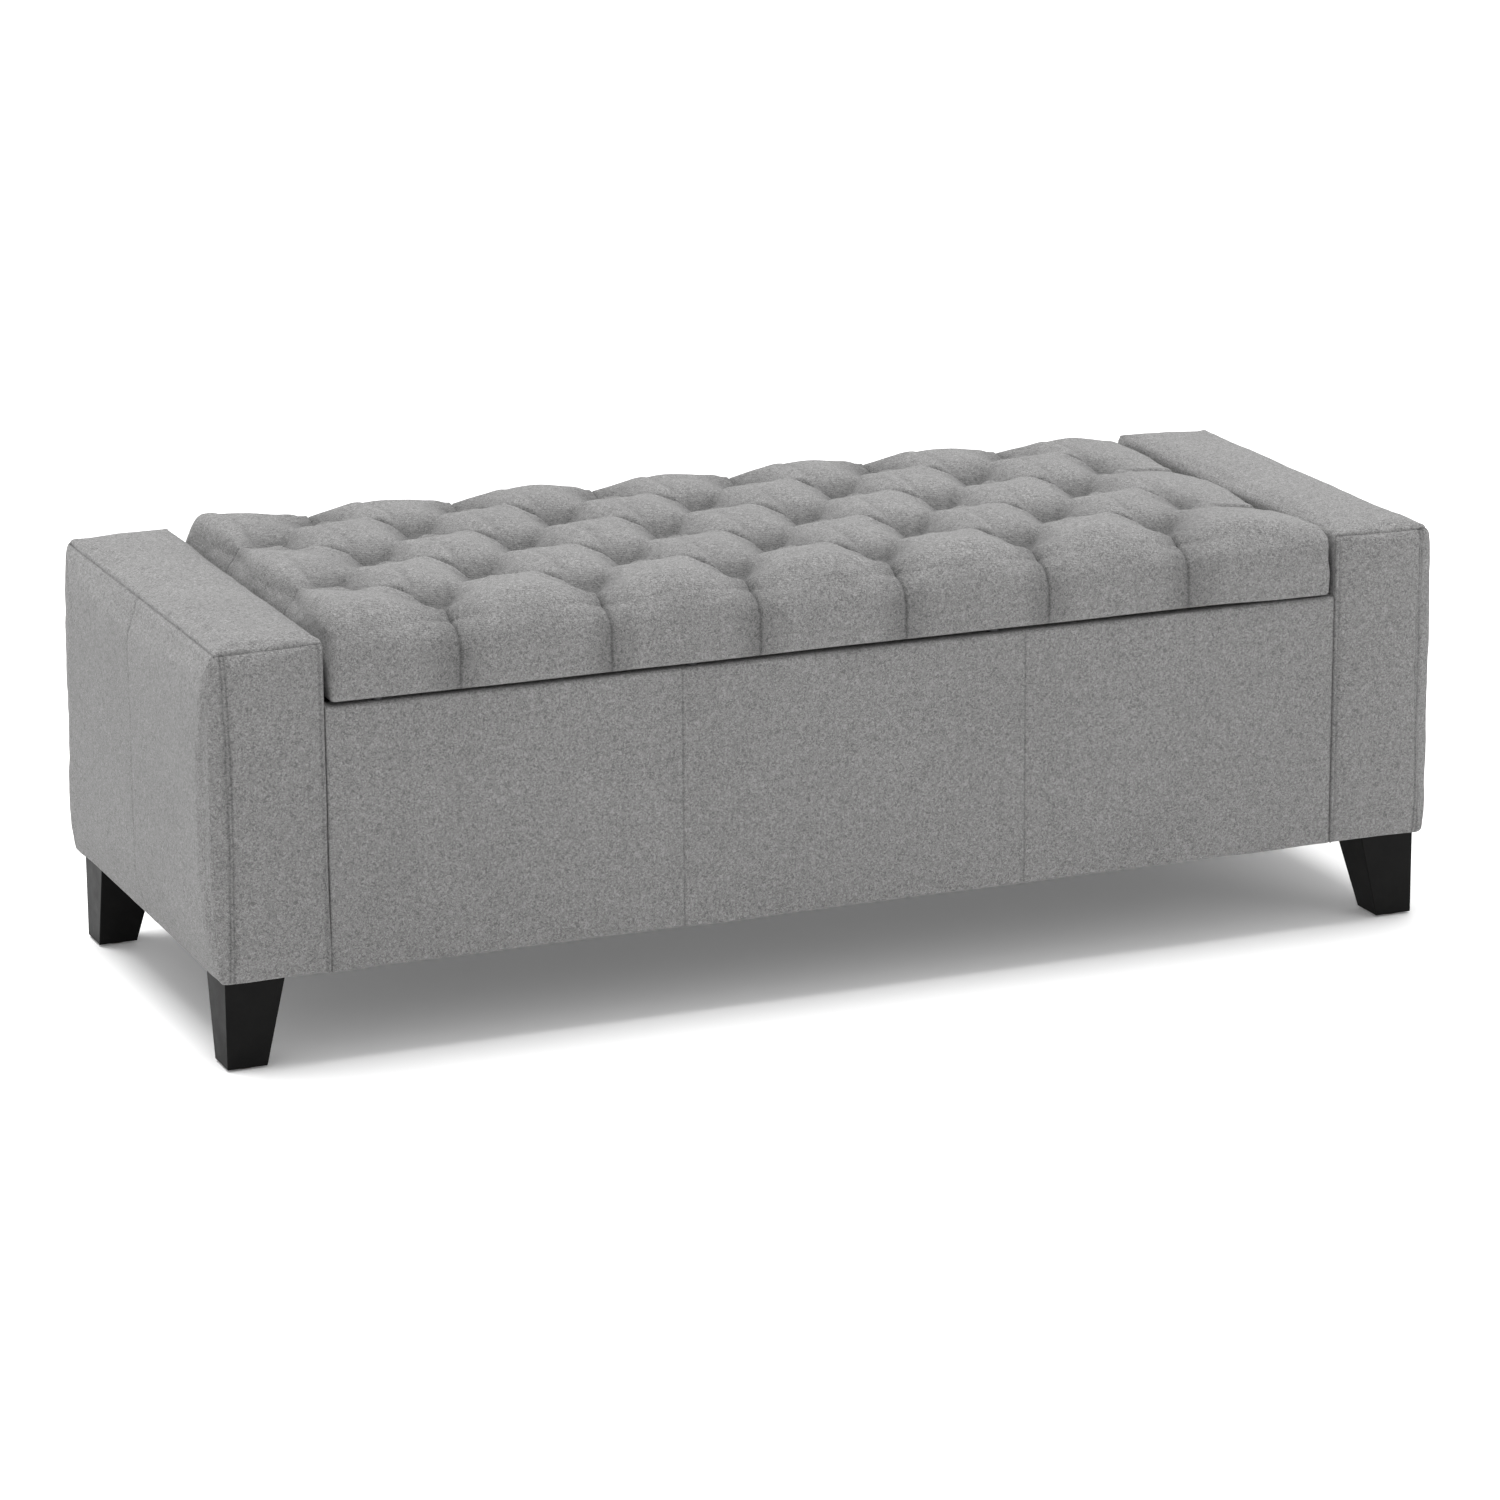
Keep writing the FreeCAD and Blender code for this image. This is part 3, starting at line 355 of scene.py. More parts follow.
def box_grid(xs, ys, zs, rim=0):
    """A closed box cut along the places on each axis: its points, their grid places and its faces.
    With rim, the bottom has that many rows of faces round its edge, and one face closes the rest."""
    shape = np.array([len(xs), len(ys), len(zs)])
    spot = np.indices(shape).reshape(3, -1).T
    last = shape - 1
    skin = ((spot == 0) | (spot == last)).any(1)
    if rim:
        across = spot[:, :2]
        skin &= ~((spot[:, 2] == 0) & (across > rim).all(1) & (across < last[:2] - rim).all(1))
    spot = spot[skin]
    number = np.full(shape, -1)
    number[tuple(spot.T)] = np.arange(len(spot))
    faces = []
    for sheet, flip in ((number[:, :, -1], False), (number[:, :, 0], True), (number[:, 0, :], False),
                        (number[:, -1, :], True), (number[0], True), (number[-1], False)):
        quads = np.stack([sheet[:-1, :-1], sheet[1:, :-1], sheet[1:, 1:], sheet[:-1, 1:]], -1).reshape(-1, 4)
        quads = quads[(quads >= 0).all(1)]
        faces += list(quads[:, ::-1] if flip else quads)
    if rim:
        floor = number[rim:last[0] - rim + 1, rim:last[1] - rim + 1, 0]
        faces.append(np.concatenate([floor[0, :-1], floor[:-1, -1], floor[-1, :0:-1], floor[:0:-1, 0]]))
    points = np.stack([xs[spot[:, 0]], ys[spot[:, 1]], zs[spot[:, 2]]], 1)
    return points, spot, faces


def rounded(points, low, high, low_radius, high_radius):
    """A box's points moved on to its rounded form, and their outward directions."""
    inner = np.clip(points, low + low_radius, high - high_radius)
    away = points - inner
    radius = np.where(away < 0, low_radius, high_radius)
    out = away / radius
    out /= np.linalg.norm(out, axis=1, keepdims=True)
    direction = out / radius
    direction /= np.linalg.norm(direction, axis=1, keepdims=True)
    return inner + radius * out, direction


def ripple(points, length, seed, waves=12):
    """A soft random swell, about 1 high, with waves of about that length."""
    chance = np.random.default_rng(seed)
    total = np.zeros(len(points))
    for _ in range(waves):
        way = chance.normal(size=3)
        way *= TAU / (length * chance.uniform(0.7, 1.6) * np.linalg.norm(way))
        total += np.sin(np.asarray(points) @ way + chance.uniform(0, TAU))
    return total / math.sqrt(waves / 2)


def bell(distance, width):
    return np.exp(-(distance / width) ** 2)


def eased(share):
    """0 below 0, 1 above 1, and a smooth rise between."""
    share = np.clip(share, 0, 1)
    return share * share * (3 - 2 * share)


def spots(cad_node, reach=0.02):
    """The middle, seen from above, of each separate solid of a CAD node."""
    left = np.array([v.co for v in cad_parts[cad_node].data.vertices])[:, :2]
    found = []
    while len(left):
        near = np.linalg.norm(left - left[0], axis=1) < reach
        found.append((left[near].min(0) + left[near].max(0)) / 2)
        left = left[~near]
    return np.array(found)


def corners(cad_node):
    low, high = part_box(cad_node)
    return np.array(low), np.array(high)


SIM_FRAMES = 20


def swollen(points, faces, held, pressure, cap, stiffness=20.0):
    """The points after air pressure has filled the cloth, moved by at most cap. held, from 0 to 1, pins."""
    trial = mesh_piece("trial", points, faces, None)
    group = trial.vertex_groups.new(name="held")
    for weight in np.unique(np.round(held, 1)):
        group.add(np.flatnonzero(np.round(held, 1) == weight).tolist(), float(weight), "REPLACE")
    cloth_modifier = trial.modifiers.new("cloth", "CLOTH")
    settings = cloth_modifier.settings
    settings.quality = 4
    settings.tension_stiffness = settings.compression_stiffness = stiffness
    settings.shear_stiffness = stiffness / 2
    settings.bending_stiffness = 0.8
    settings.use_pressure = True
    settings.uniform_pressure_force = pressure
    settings.vertex_group_mass = "held"
    settings.effector_weights.gravity = 0
    scene = bpy.context.scene
    for step in range(1, SIM_FRAMES + 1):
        scene.frame_set(step)
    shape = trial.evaluated_get(bpy.context.evaluated_depsgraph_get())
    moved = np.zeros(len(points) * 3)
    shape.data.vertices.foreach_get("co", moved)
    moved = moved.reshape(-1, 3) - points
    bpy.data.objects.remove(trial)
    scene.frame_set(1)
    length = np.linalg.norm(moved, axis=1, keepdims=True)
    return points + moved * np.minimum(1, cap / np.maximum(length, 1e-9))


# ---- the tufted lid ----

CELLS = 28  # mesh cells across half a tuft pitch, so that folds run along the mesh's own diagonals
EDGE_STEP, RISE_STEP = 0.0032, 0.0038  # cells outside the tufts, and up the lid's sides
HEM_ROWS = 10  # rows of cells that the cover turns in under the lid
PIT = 0.0245  # depths below the lid's plain level
SADDLE = 0.0085
EDGE_DIPS = {"front": 0.017, "back": 0.011, "left": 0.012, "right": 0.004}
ARCH = 2.5  # how steeply a fold climbs out of its tufts
LIFT = 17.0  # the foam's push, as the skin's curvature
RIGHT_DROP = 0.022  # the lid thins to its right end
MOUTH = 0.015  # where a fold starts to climb out of its tuft
TUG, TUG_REACH = 20.0, 0.020  # the twine's pull round each tuft
EASE = {"front": 0.5, "back": 0.75, "left": 0.64, "right": 0.72}  # how much less the foam pushes there
EASE_START = {"front": 0.02, "back": 0.02, "left": 0.05, "right": 0.05}  # how far inside the outer tufts
EASE_RUN = 0.03
LIP, LIP_AT = 0.0042, 0.0050  # a fold's upper layer stands up beside it
GROOVE, GROOVE_AT, GROOVE_WIDTH = 0.0050, 0.0030, 0.0032  # and its lower layer sinks
EDGE_LIP, EDGE_GROOVE = 0.0020, 0.0028  # the same for the folds that run to the lid's edges
PLEAT_END = 0.03  # how soon a fold to the back right flattens out
WRINKLE, WRINKLES = 0.0006, 7  # fine folds round each tuft
SCOOP, SCOOP_RUN, SCOOP_END = 0.0085, 0.016, 0.15  # the hollow that runs back from a tuft
SCOOP_STEEP, SCOOP_GENTLE = 0.0035, 0.022  # and its two sides
RIDGE, RIDGE_AT, RIDGE_WIDTH = 0.0040, 0.010, 0.009  # the roll of cloth beside the hollow
NEAR_LIP, FRONT_LIP = 0.0060, 0.0015  # the roll in front of a tuft, and in the front row
PIT_SHADE, SHADE_FROM, SHADE_RUN = 0.95, 0.005, 0.020  # the cloth looks darker down in the pits


def folds(tufts, low, high):
    """The folds between neighbouring tufts, and from the outer tufts straight to the lid's edges.
    Each has its two ends and its lean: -1 to the back left, 1 to the back right, or its edge's name."""
    rows = np.unique(np.round(tufts[:, 1], 4))
    first_row = np.sort(tufts[np.abs(tufts[:, 1] - rows[0]) < 1e-3][:, 0])
    half_pitch = (first_row[1] - first_row[0]) / 2
    row_gap = rows[1] - rows[0]
    left, right = tufts[:, 0].min(), tufts[:, 0].max()
    found = []
    for tuft in tufts:
        x, y = tuft
        for lean in (-1, 1):
            mate = np.array([x + lean * half_pitch, y + row_gap])
            if np.linalg.norm(tufts - mate, axis=1).min() < 1e-3:
                found.append((tuft, mate, lean))
        ends = [(abs(y - rows[0]), (x, low[1]), "front"), (abs(y - rows[-1]), (x, high[1]), "back"),
                (abs(x - left), (low[0], y), "left"), (abs(x - right), (high[0], y), "right")]
        found += [(tuft, np.array(end), edge) for gap, end, edge in ends if gap < 1e-3]
    return found


def relaxed(level, free, xs, ys, lift, rounds=420, over=1.9):
    """A skin that lift presses upwards, held where it isn't free: successive over-relaxation."""
    wide, deep = np.diff(xs), np.diff(ys)
    west = (2 / (wide[:-1] * (wide[:-1] + wide[1:])))[:, None]
    east = (2 / (wide[1:] * (wide[:-1] + wide[1:])))[:, None]
    south = (2 / (deep[:-1] * (deep[:-1] + deep[1:])))[None]
    north = (2 / (deep[1:] * (deep[:-1] + deep[1:])))[None]
    whole = west + east + south + north
    i, j = np.indices(whole.shape)
    masks = [over * free[1:-1, 1:-1] * ((i + j) % 2 == parity) for parity in (0, 1)]
    inside = level[1:-1, 1:-1]
    for _ in range(rounds):
        for mask in masks:
            pull = west * level[:-2, 1:-1] + east * level[2:, 1:-1]
            pull = pull + south * level[1:-1, :-2] + north * level[1:-1, 2:]
            inside += mask * ((pull + lift[1:-1, 1:-1]) / whole - inside)
        for rim, beside, loose in ((level[0], level[1], free[0]), (level[-1], level[-2], free[-1]),
                                   (level[:, 0], level[:, 1], free[:, 0]),
                                   (level[:, -1], level[:, -2], free[:, -1])):
            rim += loose * (beside - rim)
    return level


def tufted_skin(xs, ys, tufts, lines):
    """How far the lid's top lies above its plain level at each grid place, and how much shade is painted into
    its folds, hollows and pits.
    """
    x, y = np.meshgrid(xs, ys, indexing="ij")
    level, seam, relief = np.zeros_like(x), np.zeros_like(x), np.zeros_like(x)
    free = np.ones_like(x)
    for start, end, lean in lines:
        way = end - start
        length = np.linalg.norm(way)
        way = way / length
        along = (x - start[0]) * way[0] + (y - start[1]) * way[1]
        off = (y - start[1]) * way[0] - (x - start[0]) * way[1]
        within = (along > -1e-5) & (along < length + 1e-5)
        on = within & (np.abs(off) < 1e-5)
        diagonal = lean in (-1, 1)
        near = np.minimum(along, length - along) if diagonal else along
        shallow = SADDLE if diagonal else EDGE_DIPS[lean]
        climb = np.clip(1 - near / (length / 2 if diagonal else length), 0, 1)
        if diagonal:
            climb = 1 - eased((near - MOUTH) / (length / 2 - MOUTH))
        depth = shallow + (PIT - shallow) * (climb if diagonal else climb ** ARCH)
        level[on] = np.minimum(level[on], -depth[on])
        free[on] = 0
        open_part = within * (1 - bell(near, 0.008)) * (np.exp(-near / PLEAT_END) if lean == 1 else 1)
        over = -off if lean == 1 else off
        lip = np.maximum(over, 0) / LIP_AT
        lip = lip * np.exp(1 - lip)
        if diagonal:
            # painted shadow: a dark line on the fold and in the gap under its upper layer
            dark = np.maximum(bell(off, 0.0020), 0.85 * bell(over + 0.0045, 0.0034))
            relief += open_part * (LIP * lip - GROOVE * bell(over + GROOVE_AT, GROOVE_WIDTH))
        else:
            # the same profile sinks the groove and paints shade into it
            dark = np.maximum(bell(off, 0.0013), 0.5 * bell(off - 0.0045, 0.0010))
            relief += open_part * (EDGE_LIP * lip - EDGE_GROOVE * dark)
        seam = np.maximum(seam, open_part * dark)
    lift = np.full_like(x, LIFT)
    for tuft_x, tuft_y in tufts:
        lift -= TUG * bell(np.hypot(x - tuft_x, y - tuft_y), TUG_REACH)
    first, last = tufts.min(0), tufts.max(0)
    beyond = {"front": first[1] - y, "back": y - last[1], "left": first[0] - x, "right": x - last[0]}
    for edge, distance in beyond.items():
        lift *= 1 - EASE[edge] * np.clip((distance + EASE_START[edge]) / EASE_RUN, 0, 1)
    level = relaxed(level, free, xs, ys, lift)
    for number, (tuft_x, tuft_y) in enumerate(tufts):
        reach = np.hypot(x - tuft_x, y - tuft_y)
        angle = np.arctan2(y - tuft_y, x - tuft_x)
        relief += WRINKLE * np.sin(WRINKLES * angle + number) * bell(reach - 0.017, 0.010)
        back = y - tuft_y
        aside = x - tuft_x + 0.008 + 0.08 * back + 0.0015 * np.sin(back * 60 + number)
        run = np.clip((back - 0.004) / SCOOP_RUN, 0, 1) * np.clip(1 - back / SCOOP_END, 0, 1)
        run *= 0.3 if tuft_y > last[1] - 0.01 else 1
        scoop = np.where(aside > 0, np.exp(-aside / SCOOP_GENTLE), np.exp(aside / SCOOP_STEEP))
        relief -= SCOOP * run * scoop
        relief += RIDGE * run * bell(aside + RIDGE_AT, RIDGE_WIDTH)
        # painted shade in the hollow that runs back from each tuft
        seam = np.maximum(seam, 0.45 * run * bell(aside - 0.003, 0.0035))
        near_lip = bell(x - tuft_x, 0.018) * bell(back + 0.018, 0.009)
        relief += (FRONT_LIP if tuft_y < first[1] + 0.01 else NEAR_LIP) * near_lip
    pit_fade = np.minimum(1, 4 * (level - level.min()) / PIT)
    skin = level + relief * pit_fade
    # painted shade: the cloth's colour is darkened the deeper the skin sinks into a pit
    return skin, np.maximum(seam, PIT_SHADE * np.clip((-skin - SHADE_FROM) / SHADE_RUN, 0, 1))


def lid_cushion(material):
    """The lid's foam and cover: pillows between the tufts, rolled edges and plain pleated faces."""
    low, high = corners("lid_cover")
    tufts = spots("tuft_twines")
    lines = folds(tufts, low, high)
    first, last = tufts.min(0), tufts.max(0)
    half_pitch = abs(next(end[0] - start[0] for start, end, lean in lines if lean == 1))
    columns = round((last[0] - first[0]) / half_pitch) * CELLS + 1
    rows = (len(np.unique(np.round(tufts[:, 1], 4))) - 1) * CELLS + 1
    step = EDGE_STEP
    xs = np.concatenate([spread((low[0], first[0]), step)[:-1], np.linspace(first[0], last[0], columns),
                         spread((last[0], high[0]), step)[1:]])
    ys = np.concatenate([spread((low[1], first[1]), step)[:-1], np.linspace(first[1], last[1], rows),
                         spread((last[1], high[1]), step)[1:]])
    zs = spread((low[2], high[2]), RISE_STEP)
    flat, spot, faces = box_grid(xs, ys, zs, rim=HEM_ROWS)

    rise = (flat[:, 2] - low[2]) / (high[2] - low[2])
    corner = 0.006 + 0.038 * eased((rise - 0.1) / 0.65)
    thin = eased((flat[:, 0] - last[0] + 0.02) / (high[0] - last[0] + 0.02))
    bottom, top = np.full(len(flat), 0.002), 0.052 - 0.030 * thin
    corner = corner * (1 - 0.6 * thin)
    low_radius = np.stack([0.4 * corner, corner, bottom], 1)
    high_radius = np.stack([0.7 * corner, corner, top], 1)
    points, out = rounded(flat, low, high, low_radius, high_radius)
    points[:, 2] -= RIGHT_DROP * thin * rise

    skin, seam = tufted_skin(xs, ys, tufts, lines)
    # dark is the shade painted into the folds, hollows and pits
    level, dark = skin[spot[:, 0], spot[:, 1]], seam[spot[:, 0], spot[:, 1]]
    down = high[2] - flat[:, 2]
    on_top = spot[:, 2] == len(zs) - 1
    fall = np.where(on_top, 1, 0.10 + 0.90 * np.exp(-(down / 0.026) ** 1.4))
    belly = 0.0024 * np.sin(math.pi * np.clip(rise, 0, 1)) ** 2
    sway = 0.0006 + 0.0006 * ripple(flat, 0.11, 5) + 0.0002 * ripple(flat, 0.021, 6)
    fuller = 0.003 * np.clip(-flat[:, 0] / 0.5, 0, 1) * rise
    swell = level * fall + belly + sway + fuller
    board_top = corners("lid_board")[1][2] + 0.003
    swell = np.where(flat[:, 2] < board_top, np.maximum(swell, 0.0004), swell)
    points = points + out * np.where(spot[:, 2] == 0, 0, swell)[:, None]
    inside = np.minimum(flat - low, high - flat)[:, :2].min(1)
    hang = np.clip(0.0010 + 0.0006 * ripple(flat, 0.16, 8), 0.0002, 0.002)
    points[:, 2] -= hang * bell(rise, 0.25) * bell(inside, 0.006)
    piece = mesh_piece("lid_cushion", points, faces, material, dark)
    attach(piece, "lid")
    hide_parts("lid_cover", "lid_foam")
    return piece


# ---- the padded arms ----

FAR = 9  # a distance at which a seam leaves no trace
SOFT_EDGE, FRONT_EDGE, HARD_EDGE = 0.009, 0.006, 0.0024  # radii, soft over foam and hard over boards
FOAM_EDGE_FROM = 0.05  # an edge turns from hard to soft over this length
CROWN, CROWN_TO_BACK, CROWN_MIDDLE = 0.0030, 0.0012, 0.0045  # how far an arm's top swells
BULGE = 0.0065  # and its outer side
PRESSURE, CAP = 2.0, 0.003  # the arm's cloth simulation, and the furthest it may move a point

def arm(name, side, material):
    """One arm: foam under cloth, with a sewn edge round its top and a fold down its inner front edge."""
    low, high = corners(f"{name}_arm_cover")
    outer, inner = (low[0], high[0]) if side < 0 else (high[0], low[0])
    middle = (low[1] + high[1]) / 2
    double = [outer - side * 0.009, outer - side * 0.013]
    piping = inner + side * 0.0025
    xs = fine_spread(low[0], high[0], double + [piping])
    ys = fine_spread(low[1], high[1], [middle])
    zs = fine_spread(low[2], high[2])
    flat, _, faces = box_grid(xs, ys, zs)
    soft, hard = SOFT_EDGE, HARD_EDGE
    radius_low = np.tile([soft if side < 0 else hard, FRONT_EDGE, hard], (len(flat), 1))
    radius_high = np.tile([soft if side > 0 else hard, soft, soft], (len(flat), 1))
    from_inner, from_base = np.abs(flat[:, 0] - inner), flat[:, 2] - low[2]
    from_boards = eased(from_inner / FOAM_EDGE_FROM) * eased(from_base / FOAM_EDGE_FROM)
    radius_high[:, 1] = hard + (soft - hard) * from_boards
    points, out = rounded(flat, low, high, radius_low, radius_high)

    share = 2 * (flat - low) / (high - low) - 1
    front = flat[:, 1] <= low[1] + 1e-6
    side_face = np.abs(flat[:, 0] - outer) < 1e-6
    crown = CROWN + CROWN_TO_BACK * (1 + share[:, 1])
    crown = crown + CROWN_MIDDLE * (1 - share[:, 0] ** 2) * (1 - share[:, 1] ** 8)
    bulge = BULGE * (1 - share[:, 2] ** 6)
    points[:, 2] += crown * np.maximum(out[:, 2], 0)
    points[:, 0] += bulge * side * np.maximum(side * out[:, 0], 0)
    points[:, 1] += 0.0015 * (1 - share[:, 0] ** 2) * (1 - share[:, 2] ** 8) * np.minimum(out[:, 1], 0)
    on_boards = (flat[:, 1] > high[1] - 1e-6) | (flat[:, 2] < low[2] + 1e-6)
    on_inner = from_inner < 1e-6
    held = on_boards | on_inner
    points = swollen(points, faces, held.astype(float), PRESSURE, CAP)

    from_side, from_top = np.abs(flat[:, 0] - outer), high[2] - flat[:, 2]
    from_front = flat[:, 1] - low[1]
    top_edge = from_side + from_top
    front_edge = from_front + from_top
    seams = [(top_edge, flat[:, 1], 0.0011), (front_edge, flat[:, 0], 0.0011)]
    seams += [(np.abs(flat[:, 0] - x) + FAR * ~front, flat[:, 2], 0.0010) for x in double]
    seams += [(np.abs(flat[:, 1] - middle) + FAR * ~side_face, flat[:, 2], 0.0007)]
    relief, dark = np.zeros(len(flat)), np.zeros(len(flat))
    for number, (distance, run, depth) in enumerate(seams):
        relief -= depth * bell(distance, 0.0016)
        pucker = np.sin(run * TAU / 0.012 + ripple(flat, 0.1, number))
        relief += 0.2 * depth * pucker * np.exp(-distance / 0.006)
        # painted shade in each seam's groove
        dark = np.maximum(dark, 0.65 * bell(distance, 0.0013) * depth / 0.0011)
    fold = np.abs(flat[:, 0] - piping) + FAR * ~front
    relief += 0.0012 * bell(fold, 0.0014)
    # painted shade beside the fold down the inner front edge
    dark = np.maximum(dark, 0.6 * bell(fold - 0.0022, 0.001))
    relief += 0.0005 * ripple(flat, 0.13, 3 + side) + 0.00015 * ripple(flat, 0.022, 13 + side)
    relief = np.where(on_boards, np.maximum(relief, -0.0002), relief)
    piece = mesh_piece(f"{name}_arm", points + out * (relief * ~on_inner)[:, None], faces, material, dark)
    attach(piece, "bench")
    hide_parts(f"{name}_arm_cover", *(f"{name}_arm_{pad}_foam" for pad in ("top", "side", "front")))
    return piece


# ---- cloth panels and linings ----

def line(points, step):
    """A path through the points with extra points about step apart. Each corner is kept."""
    path = [np.array(points[0], float)]
    for start, end in zip(points, points[1:]):
        start, end = np.array(start, float), np.array(end, float)
        count = max(1, round(np.linalg.norm(end - start) / step))
        path += [start + (end - start) * i / count for i in range(1, count + 1)]
    return np.array(path)


def swept(path, xs, closed=False):
    """A path in Y and Z carried along X: its points, the place of each on the path, and its faces."""
    count, long = len(path), len(xs)
    points = np.stack([np.repeat(xs, count), np.tile(path[:, 0], long), np.tile(path[:, 1], long)], 1)
    number = np.arange(count * long).reshape(long, count)
    if closed:
        number = np.concatenate([number, number[:, :1]], 1)
    quads = np.stack([number[:-1, :-1], number[1:, :-1], number[1:, 1:], number[:-1, 1:]], -1)
    faces = list(quads.reshape(-1, 4))
    if closed:
        faces += [number[0, :-1], number[-1, -2::-1]]
    return points, np.tile(np.arange(count), long), faces


def wrapped_panel(name, cad_nodes, board_face, material):
    """A cloth panel with its foam: its face, the turn over the rim and the hem under the box."""
    low, high = corners(cad_nodes[0])
    inward = 1 if board_face > low[1] + 1e-6 and low[1] < 0 else -1
    face = low[1] if inward > 0 else high[1]
    hem, rim = 0.030, (high[1] - low[1] if inward < 0 else 0.022)
    skin = 0.0012
    curve = 0.004
    outer = [(face + inward * hem, low[2]), (face + inward * curve, low[2])]
    turn = [math.radians(angle) for angle in (22.5, 45, 67.5)]
    outer += [(face + inward * curve * (1 - math.sin(a)), low[2] + curve * (1 - math.cos(a))) for a in turn]
    outer += [(face, low[2] + curve), (face, high[2] - curve)]
    outer += [(face + inward * curve * (1 - math.cos(a)), high[2] - curve * (1 - math.sin(a))) for a in turn]
    outer += [(face + inward * curve, high[2]), (face + inward * rim, high[2])]
    outer = line(outer, 0.005)
    back = [(face + inward * rim, high[2] - skin), (board_face, high[2] - skin),
            (board_face, low[2] + skin), (face + inward * hem, low[2] + skin)]
    path = np.concatenate([outer, back])
    if inward > 0:
        path = path[::-1]
    xs = fine_spread(low[0], high[0], edge=0.006, fine=0.0006, coarse=0.005)
    points, place, faces = swept(path, xs, closed=True)
    seen = np.isin(place, np.flatnonzero((path[:, None] == outer).all(2).any(1)))
    shown = seen & (np.abs(points[:, 1] - face) < curve)
    across = 2 * (points[:, 0] - low[0]) / (high[0] - low[0]) - 1
    up = 2 * (points[:, 2] - low[2]) / (high[2] - low[2]) - 1
    edge = np.minimum(points[:, 0] - low[0], high[0] - points[:, 0])
    puff = 0.0020 * (1 - across ** 4) * (1 - up ** 4) + 0.0006 * ripple(points, 0.10, len(name))
    puff += 0.0002 * ripple(points, 0.024, 3)
    puff *= np.minimum(1, edge / 0.03)
    puff -= 0.0010 * bell(edge, 0.0014)
    puff += 0.0003 * np.sin(points[:, 2] * TAU / 0.013) * np.exp(-edge / 0.008)
    puff = np.maximum(puff, -skin / 2)
    points[:, 1] -= inward * puff * shown
    points[:, 2] -= 0.0006 * np.abs(ripple(points, 0.14, 21)) * shown * (up < -0.8)
    # painted shade along the panel's two ends, where it meets the next panel
    piece = mesh_piece(name, points, faces, material, 0.45 * bell(edge, 0.0010) * shown)
    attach(piece, "bench")
    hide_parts(*cad_nodes)
    return piece, (high[0] - low[0], high[2] - low[2] + hem + rim)


def thickened(piece, thickness):
    """Give a sheet its real thickness, on the side away from its faces' normals."""
    solid = piece.modifiers.new("thickness", "SOLIDIFY")
    solid.thickness = thickness
    solid.offset = -1


def level_sheet(name, cad_node, body, material, sag, facing, margin=0.010):
    """A flat cloth tacked round its edge, with a turned-in hem and a slight sag in the middle."""
    low, high = corners(cad_node)
    xs, ys = (fine_spread(low[axis], high[axis], [low[axis] + margin, high[axis] - margin],
                          edge=0.03, fine=0.003, coarse=0.010) for axis in (0, 1))
    x, y = (a.ravel() for a in np.meshgrid(xs, ys, indexing="ij"))
    points = np.stack([x, y, np.full(len(x), low[2] if facing < 0 else high[2])], 1)
    edge = np.minimum(np.minimum(x - low[0], high[0] - x), np.minimum(y - low[1], high[1] - y))
    inside = np.clip((edge - margin) / 0.05, 0, 1)
    wave = sag * inside * (0.7 + 0.3 * ripple(points, 0.3, 31)) + 0.0003 * inside * ripple(points, 0.05, 32)
    points[:, 2] += facing * np.abs(wave)
    number = np.arange(len(points)).reshape(len(xs), len(ys))
    quads = np.stack([number[:-1, :-1], number[1:, :-1], number[1:, 1:], number[:-1, 1:]], -1).reshape(-1, 4)
    # painted shade along the fold of the turned-in hem
    piece = mesh_piece(name, points, quads[:, ::-1] if facing < 0 else quads, material,
                       0.5 * bell(edge - margin, 0.003))
    thickened(piece, high[2] - low[2])
    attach(piece, body)
    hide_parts(cad_node)
    return piece, (high[0] - low[0], high[1] - low[1])


def staples(name, cad_node, body, material, pitch=0.055, inset=0.006):
    """Upholstery staples round the edge of a cloth, their crowns against its lower face."""
    low, high = corners(cad_node)
    crown, wire, foot = 0.010, 0.0009, 0.0009
    path = line([(-crown / 2, foot), (-crown / 2, 0), (crown / 2, 0), (crown / 2, foot)], 0.003)
    ring = [(math.cos(a) * wire / 2, math.sin(a) * wire / 2) for a in np.arange(6) * TAU / 6]
    points, faces = [], []
    spots_along = [(x, y, 0) for y in (low[1] + inset, high[1] - inset)
                   for x in np.arange(low[0] + 0.03, high[0] - 0.02, pitch)]
    spots_along += [(x, y, 1) for x in (low[0] + inset, high[0] - inset)
                    for y in np.arange(low[1] + 0.03, high[1] - 0.02, pitch)]
    for number, (x, y, turned) in enumerate(spots_along):
        tilt = math.radians(6 * math.sin(number * 2.3)) + turned * math.pi / 2
        start = len(points)
        for along, lift in path:
            for side, height in ring:
                dx = along * math.cos(tilt) - side * math.sin(tilt)
                dy = along * math.sin(tilt) + side * math.cos(tilt)
                points.append((x + dx, y + dy, low[2] + lift + height * 0.6))
        count = len(ring)
        for i in range(len(path) - 1):
            for k in range(count):
                a, b = start + i * count + k, start + i * count + (k + 1) % count
                faces.append((a, b, b + count, a + count))
        faces.append(tuple(range(start + count - 1, start - 1, -1)))
        end = start + (len(path) - 1) * count
        faces.append(tuple(range(end, end + count)))
    piece = mesh_piece(name, points, faces, material)
    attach(piece, body)
    return piece


